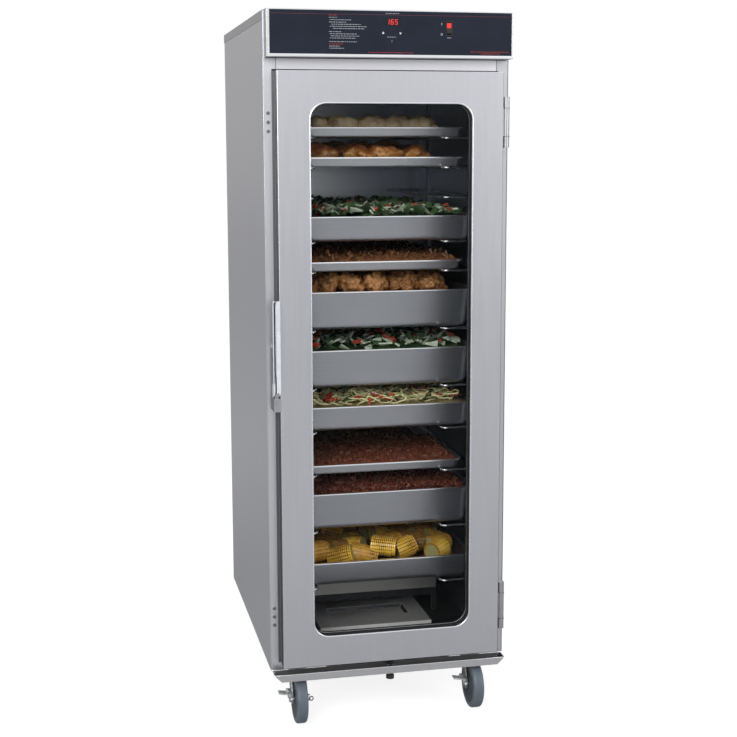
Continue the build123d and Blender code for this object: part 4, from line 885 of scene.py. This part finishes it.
foodTones = {
    "bread": foodFinish("breadCrust", (0.96, 0.78, 0.50), (0.86, 0.60, 0.30), (0.99, 0.88, 0.66),
                        34, 0.46, 0.35, 230, crust=(0.90, 0.64, 0.34), wet=0.15),
    "roast": foodFinish("roastSkin", (0.42, 0.13, 0.025), (0.80, 0.42, 0.11), (0.09, 0.026, 0.008),
                        30, 0.34, 0.8, 120, crust=(0.34, 0.10, 0.020), wet=0.3),
    "fried": foodFinish("friedCrust", (0.38, 0.155, 0.045), (0.60, 0.31, 0.115), (0.07, 0.024, 0.008),
                        90, 0.55, 1.0, 260),
    "darkMeat": foodFinish("darkMeat", (0.135, 0.026, 0.010), (0.060, 0.013, 0.006), (0.42, 0.13, 0.07),
                           90, 0.5, 1.0, 230, wet=0.12),
    "mince": foodFinish("minceMeat", (0.150, 0.035, 0.014), (0.070, 0.016, 0.008), (0.40, 0.14, 0.06),
                        90, 0.5, 1.0, 230, wet=0.12),
    "shreds": foodFinish("shreddedMeat", (0.080, 0.034, 0.016), (0.22, 0.085, 0.028), (0.42, 0.19, 0.06),
                         90, 0.55, 1.0, 250, wet=0.08),
    "kernel": foodFinish("cornKernel", (0.94, 0.56, 0.045), (0.98, 0.70, 0.15), (0.84, 0.40, 0.02),
                         60, 0.30, 0.1, 330, wet=0.3),
    "toasted": foodFinish("toastedKernel", (0.66, 0.36, 0.05), (0.48, 0.22, 0.03), (0.80, 0.50, 0.10),
                          60, 0.34, 0.2, 330, wet=0.25),
    "burnt": foodFinish("burntKernel", (0.26, 0.15, 0.05), (0.16, 0.09, 0.03), (0.40, 0.25, 0.07),
                        60, 0.40, 0.3, 330, wet=0.2),
    # browned food under the cobs, and painted shade in the grooves between the kernels
    "bakedAndGrooveShade": foodFinish("kernelGrooveShade", (0.40, 0.19, 0.02), (0.26, 0.11, 0.012), (0.52, 0.27, 0.03),
                        60, 0.5, 0.3, 330),
    "core": foodFinish("cornCore", (0.40, 0.38, 0.15), (0.30, 0.29, 0.10), (0.52, 0.48, 0.22),
                       80, 0.5, 0.4, 300),
    "leaf": foodFinish("leafGreen", (0.050, 0.115, 0.038), (0.13, 0.23, 0.09), (0.025, 0.062, 0.020),
                       50, 0.42, 0.5, 180, wet=0.2),
    "darkLeaf": foodFinish("leafDark", (0.018, 0.046, 0.014), (0.035, 0.08, 0.022), (0.010, 0.03, 0.008),
                           50, 0.42, 0.5, 180, wet=0.2),
    "cream": foodFinish("paleShard", (0.50, 0.55, 0.43), (0.33, 0.42, 0.29), (0.66, 0.68, 0.58),
                        60, 0.5, 0.3, 200),
    "pepper": foodFinish("redPepper", (0.46, 0.045, 0.026), (0.55, 0.12, 0.06), (0.27, 0.02, 0.015),
                         50, 0.28, 0.2, 160, wet=0.35),
    "strand": foodFinish("paleStrand", (0.82, 0.78, 0.42), (0.68, 0.68, 0.30), (0.90, 0.86, 0.58),
                         50, 0.40, 0.2, 200, wet=0.2),
    "broth": foodFinish("strandBed", (0.27, 0.20, 0.08), (0.17, 0.13, 0.05), (0.48, 0.38, 0.18),
                        60, 0.45, 0.6, 160, wet=0.15),
}


def roughen(piece, size, strength, pattern="CLOUDS", seed=0, group=""):
    relief = bpy.data.textures.new("relief", pattern)
    relief.noise_scale = size
    away = Vector((seed * 1.7, seed * 0.9, seed * 2.3))
    piece.data.transform(Matrix.Translation(away))
    applyModifier(piece, "DISPLACE", texture=relief, strength=strength, mid_level=0.5,
                  texture_coords="LOCAL", vertex_group=group)
    piece.data.transform(Matrix.Translation(-away))
    bpy.data.textures.remove(relief)


def dress(piece, *tones):
    wear(piece, *(foodTones[tone] for tone in tones))


def makeRoll(seed, r={"size": (0.084, 0.068, 0.066), "base": -0.013, "foldsX": 150, "foldsY": 70,
                      "creaseFrom": -0.006, "crease": 0.16}):
    roll = fresh(bpy.ops.mesh.primitive_uv_sphere_add, segments=44, ring_count=26, radius=0.5)
    roll.scale = r["size"]
    seat(roll)
    openMesh(roll)
    pickFaces(roll, lambda face: all(v.co.z < r["base"] for v in face.verts))
    squeeze((1, 1, 0.12), (0, 0, r["base"]))
    closeMesh()
    roughen(roll, 0.05, 0.010, seed=seed)
    roughen(roll, 0.030, -0.016, "VORONOI", seed=seed + 2)
    for point in roll.data.vertices:  # creases across the top, where the dough was folded
        fold = math.cos(point.co.x * r["foldsX"] + (-1) ** seed * point.co.y * r["foldsY"] + seed * 0.9)
        sunk = max(0.0, fold) ** 6 * min(1.0, max(0.0, point.co.z - r["creaseFrom"]) * 50)
        point.co *= 1 - r["crease"] * sunk
        point.co.z = max(r["base"], point.co.z)
    smooth(roll, 60)
    dress(roll, "bread")
    return roll


def makeLump(seed, tone, size, swell, craggy, l={"wave": 0.55, "crag": 0.20, "base": -0.36}):
    lump = fresh(bpy.ops.mesh.primitive_ico_sphere_add, subdivisions=4, radius=0.5)
    lump.scale = size
    seat(lump)
    roughen(lump, size[0] * l["wave"], swell, seed=seed)
    roughen(lump, size[0] * l["crag"], -craggy, "VORONOI", seed=seed + 5)
    for point in lump.data.vertices:  # it lies on a flat base
        point.co.z = max(point.co.z, l["base"] * size[2])
    smooth(lump, 60)
    dress(lump, tone)
    return lump


def makeCob(seed, tone, c={"rows": 19, "kernels": 13, "radius": 0.0250, "length": 0.066,
                           "end": ((0.0030, 0.0), (0.0060, -0.0022)), "taperFrom": 0.36}):
    long = c["length"] * (0.85 + 0.3 * (seed % 3) / 2)
    cob = fresh(bpy.ops.mesh.primitive_cylinder_add, vertices=c["rows"], radius=c["radius"], depth=long,
                rotation=(0, math.pi / 2, 0), end_fill_type="NGON")
    seat(cob)
    dress(cob, "bakedAndGrooveShade", tone, "core")
    openMesh(cob, "EDGE")
    pickEdges(cob, lambda edge: abs(edge.verts[0].co.x - edge.verts[1].co.x) > long / 2)
    bpy.ops.mesh.subdivide(number_cuts=c["kernels"] - 1)
    openMesh(cob)
    pickFaces(cob, lambda face: abs(face.normal.x) < 0.5)
    # the rings left between the kernels keep the first finish, painted shade in the grooves
    bpy.ops.mesh.inset(thickness=0.0006, depth=0.0022, use_individual=True)
    paint(cob, 1)
    openMesh(cob)
    pickFaces(cob, lambda face: abs(face.normal.x) > 0.9 and len(face.verts) > 6)
    for thickness, depth in c["end"]:
        bpy.ops.mesh.inset(thickness=thickness, depth=depth)
        paint(cob, 2)
    openMesh(cob)
    pickFaces(cob, lambda face: face.calc_center_median().x > long * c["taperFrom"])
    squeeze((1, 0.86, 0.86))
    closeMesh()
    roughen(cob, 0.06, 0.008, seed=seed)
    smooth(cob, 60)
    return cob


def makeLeaf(seed, tone, size, curl, thick=0.0007):
    leaf = fresh(bpy.ops.mesh.primitive_grid_add, x_subdivisions=5, y_subdivisions=3, size=1)
    leaf.scale = (*size, 1)
    seat(leaf)
    openMesh(leaf, "VERT")
    pickFaces(leaf, lambda face: abs(face.calc_center_median().x) > size[0] * 0.35)
    squeeze((1, 0.45, 1))
    closeMesh()
    roughen(leaf, size[0] * 0.5, curl, seed=seed)
    applyModifier(leaf, "SOLIDIFY", thickness=thick, offset=0)
    smooth(leaf, 60)
    dress(leaf, tone)
    return leaf


def makeShard(seed, tone, size):
    shard = block((-size[0] / 2, size[0] / 2), (-size[1] / 2, size[1] / 2), (-size[2] / 2, size[2] / 2))
    openMesh(shard)
    pickFaces(shard, lambda face: face.normal.x > 0.9)
    squeeze((1, 0.25, 0.8), (size[0] / 2, 0, 0))
    pickAll()
    bpy.ops.mesh.subdivide(number_cuts=1)
    closeMesh()
    roughen(shard, size[0], size[2] * 2.2, seed=seed)
    smooth(shard, 60)
    dress(shard, tone)
    return shard


def makeStrand(seed, tone, n={"loop": (0.016, 0.036), "thick": 0.0015, "waves": 28, "wander": 0.011}):
    ring = n["loop"][0] + (n["loop"][1] - n["loop"][0]) * (seed % 5) / 4
    strand = fresh(bpy.ops.mesh.primitive_torus_add, major_segments=20, minor_segments=4, major_radius=ring,
                   minor_radius=n["thick"])
    strand.scale = (1, 0.62 + 0.09 * (seed % 4), 1)
    seat(strand)
    for point in strand.data.vertices:  # the loop wanders up, down and sideways
        spot = point.co * n["waves"] + Vector((seed * 3.1, 0, 0))
        point.co += noise.noise_vector(spot) * n["wander"]
    smooth(strand, 80)
    dress(strand, tone)
    return strand


# What fills a pan up to its brim, mounded and lumpy, under the loose pieces. Bare gives limits on X and Y and
# how far the load sinks past them. Heap gives a middle on X and Y, a height and a reach.
usualBed = {"gap": 0.0030, "round": 0.004, "waves": 9, "waveStep": 31, "least": 0.55, "most": 0.9,
            "fade": 0.03, "under": 0.009, "narrower": 0.02, "bare": None, "heap": None, "heapLength": 0.8}


def makeBed(name, p, level, middle, b, seed):
    b = {**usualBed, **b}
    wide = p["size"][0] / 2 - p["rim"] - b["gap"]
    long = p["size"][1] / 2 - p["rim"] - b["gap"]
    brim = panFloor(level) + p["depth"] + b["fill"]
    slope = math.tan(math.radians(p["taper"]))
    wide, long = wide + min(b["fill"], 0) * slope, long + min(b["fill"], 0) * slope
    cells = (round(2 * wide / b["cell"]), round(2 * long / b["cell"]))
    bed = fresh(bpy.ops.mesh.primitive_grid_add, x_subdivisions=cells[0], y_subdivisions=cells[1], size=2)
    inner = bed.vertex_groups.new(name="inner")
    turn = p["corner"] - b["round"]
    for point in bed.data.vertices:
        x, y = point.co.x * wide, point.co.y * long
        overX, overY = abs(x) - (wide - turn), abs(y) - (long - turn)
        if overX > 0 and overY > 0:
            pull = min(1.0, max(overX, overY) / math.hypot(overX, overY))
            x = math.copysign(wide - turn + overX * pull, x)
            y = math.copysign(long - turn + overY * pull, y)
        edge = min(1.0, min(wide - abs(x), long - abs(y)) / b["shoulder"])
        rise = math.sin(max(edge, 0) * math.pi / 2)
        wave = Vector((x * b["waves"], y * b["waves"] + middle * b["waveStep"], seed))
        high = b["crown"] * rise * (b["least"] + b["most"] * (0.5 + 0.5 * noise.noise(wave)))
        if b["bare"] and x > b["bare"][0] and y + middle > b["bare"][1]:
            reach = min(1.0, (x - b["bare"][0]) / b["fade"], (y + middle - b["bare"][1]) / b["fade"])
            high -= b["bare"][2] * reach
        if b["heap"]:
            away = math.hypot(x - b["heap"][0], (y + middle - b["heap"][1]) * b["heapLength"])
            high += b["heap"][2] * max(0.0, 1 - (away / b["heap"][3]) ** 2)
        point.co = (x, y + middle, brim + high)
        inner.add([point.index], max(edge, 0) ** 0.5, "REPLACE")
    roughen(bed, b["lump"][0], b["lump"][1], seed=seed, group="inner")
    roughen(bed, b["grain"][0], b["grain"][1], "VORONOI", seed=seed + 3, group="inner")
    floor = panFloor(level)
    for point in bed.data.vertices:  # where the pan is bare, the load sinks into its sheet
        point.co.z = max(point.co.z, floor + rack["wall"] * 0.7)
    openMesh(bed, "EDGE")
    pickEdges(bed, lambda edge: edge.is_boundary)
    depth = p["depth"] + b["fill"] - b["under"]
    extrudeBy(z=-depth)
    least = 1 - b["narrower"]
    squeeze((least - depth * slope / wide, least - depth * slope / long, 1), (0, middle, 0))
    bpy.ops.mesh.edge_face_add()
    pickAll()
    bpy.ops.mesh.normals_make_consistent(inside=False)
    closeMesh()
    inset = p["depth"] * slope + p["foot"] + rack["wall"]
    for point in bed.data.vertices:
        point.co.z = max(point.co.z, floor + rack["wall"] * 0.3)
        if b["bare"] and point.co.z < floor + p["foot"]:  # within the pan's rounded foot
            point.co.x *= (p["size"][0] / 2 - p["rim"] - inset) / wide
            point.co.y = middle + (point.co.y - middle) * (p["size"][1] / 2 - p["rim"] - inset) / long
    smooth(bed, 60)
    dress(bed, b["tone"])
    bed.name = name
    return bed


# Loose pieces go on the bed in jittered rows, each turned its own way
usualStrewing = {"jitter": 0.5, "turn": 3.1, "gaps": 0.0, "layers": 1, "layerStep": 0.0, "bare": None,
                 "dome": 1.3}


def strew(name, masters, p, level, middle, s, seed):
    s = {**usualStrewing, **s}
    pick = random.Random(seed)
    wide = p["size"][0] / 2 - p["rim"] - s["margin"]
    long = p["size"][1] / 2 - p["rim"] - s["margin"]
    brim = panFloor(level) + p["depth"]
    columns, rows = s["grid"]
    twins = []
    for layer in range(s["layers"]):
        for row in range(rows):
            for column in range(columns):
                if pick.random() < s["gaps"]:
                    continue
                x = -wide + 2 * wide * (column + 0.5 + pick.uniform(-1, 1) * s["jitter"]) / columns
                y = -long + 2 * long * (row + 0.5 + pick.uniform(-1, 1) * s["jitter"]) / rows
                x, y = max(-wide, min(wide, x)), max(-long, min(long, y))
                if s["bare"] and x > s["bare"][0] and y + middle > s["bare"][1]:
                    continue
                rise = math.cos(x / wide * s["dome"]) * math.cos(y / long * s["dome"])
                z = brim + s["high"] + s["crown"] * rise + s["layerStep"] * layer
                twin = copyOf(masters[pick.randrange(len(masters))])
                twin.location = (x, middle + y, z + pick.uniform(-1, 1) * s["lift"])
                tilt = (pick.gauss(0, s["tip"]), pick.gauss(0, s["tip"]))
                twin.rotation_euler = (*tilt, pick.uniform(-1, 1) * s["turn"])
                size = pick.uniform(*s["sizes"])
                twin.scale = (size, size, size)
                twins.append(twin)
    bpy.context.view_layer.update()
    return joined(twins, name)


saladBed = {"fill": -0.012, "crown": 0.012, "shoulder": 0.05, "cell": 0.010, "lump": (0.04, 0.012),
            "grain": (0.02, 0.008), "tone": "darkLeaf"}
beds = {
    "leaves": saladBed,
    "slaw": saladBed,
    "noodles": {"fill": -0.010, "crown": 0.010, "shoulder": 0.05, "cell": 0.008, "lump": (0.04, 0.010),
                "grain": (0.012, 0.008), "tone": "broth"},
    "shreds": {"fill": -0.004, "crown": 0.012, "shoulder": 0.04, "cell": 0.006, "lump": (0.035, 0.014),
               "grain": (0.012, 0.012), "tone": "shreds"},
    "mince": {"fill": -0.005, "crown": 0.012, "shoulder": 0.04, "cell": 0.006, "lump": (0.035, 0.016),
              "grain": (0.010, 0.012), "tone": "mince", "bare": (0.145, 0.020, 0.026),
              "heap": (-0.02, 0.250, 0.052, 0.12)},
    "stew": {"fill": -0.012, "crown": 0.014, "shoulder": 0.06, "cell": 0.005, "lump": (0.045, 0.016),
             "grain": (0.013, 0.012), "tone": "darkMeat", "bare": (0.165, 0.285, 0.035)},
    "fried": {"fill": -0.030, "crown": 0.010, "shoulder": 0.05, "cell": 0.012, "lump": (0.05, 0.016),
              "grain": (0.02, 0.010), "tone": "fried"},
    "corn": {"fill": -0.040, "crown": 0.004, "shoulder": 0.05, "cell": 0.014, "lump": (0.05, 0.008),
             "grain": (0.02, 0.006), "tone": "bakedAndGrooveShade"},
}

# What lies loose in each load: how the piece is made, then how it is strewn
cobTones = ("kernel", "kernel", "toasted", "kernel", "burnt", "toasted")
loose = {
    "rolls": [("Roll", 5, lambda n: makeRoll(n),
               {"grid": (5, 8), "jitter": 0.10, "margin": 0.046, "high": -0.0050, "crown": 0.0, "lift": 0.001,
                "tip": 0.05, "turn": 0.35, "sizes": (0.94, 1.06)})],
    "roast": [("Joint", 6, lambda n: makeLump(n, "roast", (0.104, 0.074, 0.050), 0.044, 0.010),
               {"grid": (4, 7), "jitter": 0.18, "margin": 0.052, "high": 0.005, "crown": 0.002, "lift": 0.004,
                "tip": 0.12, "turn": 0.7, "sizes": (0.80, 1.02)})],
    "fried": [("Lump", 7, lambda n: makeLump(n, "fried", (0.082, 0.062, 0.050), 0.038, 0.020),
               {"grid": (7, 5), "jitter": 0.32, "margin": 0.058, "high": 0.002, "crown": 0.004, "lift": 0.005,
                "tip": 0.4, "sizes": (0.70, 1.04)})],
    "leaves": [
        ("Leaf", 6, lambda n: makeLeaf(n, "leaf" if n % 3 else "darkLeaf", (0.050, 0.032), 0.030),
         {"grid": (19, 12), "margin": 0.022, "high": 0.004, "crown": 0.009, "lift": 0.006,
          "tip": 0.5, "sizes": (0.6, 1.15)}),
        ("Shard", 4, lambda n: makeShard(n, "cream", (0.030, 0.013, 0.0035)),
         {"grid": (19, 12), "margin": 0.020, "high": 0.009, "crown": 0.009, "lift": 0.005,
          "tip": 0.45, "sizes": (0.6, 1.25)}),
        ("Pepper", 3, lambda n: makeShard(n, "pepper", (0.022, 0.012, 0.006)),
         {"grid": (7, 5), "margin": 0.020, "high": 0.012, "crown": 0.009, "lift": 0.004,
          "tip": 0.4, "sizes": (0.6, 1.2)}),
    ],
    "slaw": [
        ("Shard", 5, lambda n: makeShard(n, "cream", (0.036, 0.016, 0.004)),
         {"grid": (14, 9), "margin": 0.024, "high": 0.004, "crown": 0.008, "lift": 0.006,
          "tip": 0.5, "sizes": (0.6, 1.2)}),
        ("Leaf", 4, lambda n: makeLeaf(n, "darkLeaf" if n % 2 else "leaf", (0.040, 0.024), 0.024),
         {"grid": (13, 8), "margin": 0.022, "high": 0.004, "crown": 0.008, "lift": 0.005,
          "tip": 0.5, "sizes": (0.6, 1.1)}),
        ("Pepper", 3, lambda n: makeShard(n, "pepper", (0.030, 0.015, 0.006)),
         {"grid": (5, 4), "margin": 0.022, "high": 0.010, "crown": 0.008, "lift": 0.004,
          "tip": 0.4, "sizes": (0.6, 1.2)}),
    ],
    "noodles": [
        ("Strand", 9, lambda n: makeStrand(n, "strand"),
         {"grid": (19, 11), "margin": 0.040, "high": 0.003, "crown": 0.007, "lift": 0.004,
          "tip": 0.28, "sizes": (0.75, 1.1), "layers": 2, "layerStep": 0.003}),
        ("Pepper", 4, lambda n: makeShard(n, "pepper", (0.034, 0.014, 0.006)),
         {"grid": (10, 6), "margin": 0.024, "high": 0.008, "crown": 0.008, "lift": 0.004,
          "tip": 0.3, "sizes": (0.7, 1.3)}),
        ("Leaf", 4, lambda n: makeLeaf(n, "leaf", (0.040, 0.024), 0.020),
         {"grid": (9, 6), "margin": 0.024, "high": 0.009, "crown": 0.008, "lift": 0.004,
          "tip": 0.3, "sizes": (0.6, 1.1)}),
    ],
    "shreds": [("Shred", 6, lambda n: makeShard(n, "shreds", (0.026, 0.009, 0.006)),
                {"grid": (22, 30), "margin": 0.018, "high": 0.006, "crown": 0.004, "lift": 0.003,
                 "tip": 0.6, "sizes": (0.6, 1.25)})],
    "mince": [("Crumb", 6, lambda n: makeShard(n, "mince", (0.009, 0.007, 0.005)),
               {"grid": (36, 52), "margin": 0.018, "high": 0.003, "crown": 0.004, "lift": 0.003,
                "tip": 0.7, "sizes": (0.6, 1.3), "bare": (0.140, 0.015)})],
    "stew": [("Crumb", 6, lambda n: makeShard(n, "darkMeat", (0.009, 0.007, 0.006)),
              {"grid": (52, 30), "margin": 0.018, "high": -0.002, "crown": 0.010, "lift": 0.003,
               "tip": 0.7, "sizes": (0.6, 1.3), "bare": (0.160, 0.270)})],
    "corn": [("Cob", 6, lambda n: makeCob(n, cobTones[n]),
              {"grid": (6, 6), "jitter": 0.24, "margin": 0.044, "high": 0.000, "crown": 0.006, "lift": 0.012,
               "tip": 0.22, "turn": 0.75, "sizes": (0.88, 1.06)})],
}


def fillPans():
    masters = {food: [[make(n) for n in range(count)] for _, count, make, _ in parts]
               for food, parts in loose.items()}
    for level, kind, food in levels:
        p = panKinds[kind]
        for spot, middle in zip(("Front", "Back"), p["middles"]):
            seed = level * 2 + (spot == "Back")
            made = []
            if food in beds:
                made.append(makeBed(f"{food}{level}{spot}Bed", p, level, middle, beds[food], seed))
            for number, (word, _, _, s) in enumerate(loose.get(food, ())):
                name = f"{food}{level}{spot}{word}"
                made.append(strew(name, masters[food][number], p, level, middle, s, seed + 100 * number))
            for piece in made:
                handOver(piece, "cabinet", None, ["pan_food"])
    for master in (one for sets in masters.values() for group in sets for one in group):
        bpy.data.objects.remove(master)
    print("food laid in the pans")


fillPans()


# Ground, walls of light and sky
studio = {
    "floorSize": 60.0,
    "floorSeen": (0.42, 0.42, 0.42),
    "floorGlow": 0.84,
    "floorLit": (0.62, 0.62, 0.62),
    "floorBehind": (0.95, 0.95, 0.95),
    "floorFades": (1.0, 3.0),
    "keyPlace": (-2.6, -4.6, 3.4),
    "keySize": (2.6, 2.6),
    "keyPower": 170.0,
    "fillPlace": (3.4, -3.6, 2.0),
    "fillSize": (1.6, 3.0),
    "fillPower": 55.0,
    "skyDiffuse": 0.42,
    "skyFront": 1.05,
    "skyBack": 0.66,
    "skyLow": 0.62,
    "skyRise": (-0.25, 0.3),
    "skyDepth": (-0.5, 0.8),
    "skyTint": (0.97, 0.98, 1.0),
}


def makeFloor(s=studio):
    floor = fresh(bpy.ops.mesh.primitive_plane_add, size=s["floorSize"], location=(0, 0, 0))
    floor.name = "studioFloor"
    f = Finish("floorPale", s["floorSeen"], 0.9)
    f.put("Specular IOR Level", 0.0)
    f.put("Emission Color", (1, 1, 1, 1))
    f.put("Emission Strength", s["floorGlow"])
    path = f.node("LightPath")
    lit = f.node("BsdfDiffuse")
    behind = f.spread(f.axis("Y"), 0, 1, *s["floorFades"])
    f.link(f.mix(behind, s["floorLit"], s["floorBehind"]), lit.inputs["Color"])
    final = f.node("MixShader")
    f.link(path.outputs["Is Camera Ray"], final.inputs[0])
    f.link(lit.outputs[0], final.inputs[1])
    f.link(f.shader.outputs[0], final.inputs[2])
    f.link(final.outputs[0], f.tree.nodes["Material Output"].inputs["Surface"])
    floor.data.materials.append(f.material)


def makeSky(s=studio):
    world = bpy.data.worlds.new("studioSky")
    bpy.context.scene.world = world
    world.use_nodes = True
    g = Graph(world.node_tree)
    plain = g.tree.nodes["Background"]
    plain.inputs["Color"].default_value = (1, 1, 1, 1)

    def choose(test, no, yes):
        mixed = g.node("MixShader")
        for number, source in enumerate((test, no, yes)):
            g.link(source, mixed.inputs[number])
        return mixed.outputs[0]

    direction = g.node("SeparateXYZ")
    g.link(g.node("TexCoord").outputs["Generated"], direction.inputs[0])
    level = g.node("Math", operation="MULTIPLY")
    g.link(g.spread(direction.outputs["Z"], s["skyLow"], 1.0, *s["skyRise"]), level.inputs[0])
    g.link(g.spread(direction.outputs["Y"], s["skyFront"], s["skyBack"], *s["skyDepth"]), level.inputs[1])
    mirrored = g.node("Background")
    mirrored.inputs["Color"].default_value = (1, 1, 1, 1)
    g.link(level.outputs[0], mirrored.inputs["Strength"])
    soft = g.node("Background")
    soft.inputs["Color"].default_value = (*s["skyTint"], 1)
    soft.inputs["Strength"].default_value = s["skyDiffuse"]
    path = g.node("LightPath")
    unseen = choose(path.outputs["Is Glossy Ray"], soft.outputs[0], mirrored.outputs[0])
    seen = choose(path.outputs["Is Camera Ray"], unseen, plain.outputs[0])
    g.link(seen, g.tree.nodes["World Output"].inputs["Surface"])


def makeLamp(name, place, size, power, target=(0, 0, 0.9)):
    lamp = bpy.data.lights.new(name, "AREA")
    lamp.shape = "RECTANGLE"
    lamp.size, lamp.size_y = size
    lamp.energy = power
    holder = bpy.data.objects.new(name, lamp)
    bpy.context.scene.collection.objects.link(holder)
    holder.location = place
    holder.rotation_euler = (Vector(target) - Vector(place)).to_track_quat("-Z", "Y").to_euler()


makeFloor()
makeSky()
makeLamp("keyLamp", studio["keyPlace"], studio["keySize"], studio["keyPower"])
makeLamp("fillLamp", studio["fillPlace"], studio["fillSize"], studio["fillPower"])
bpy.context.scene.view_settings.view_transform = "Standard"
print("floor, sky and lamps set")
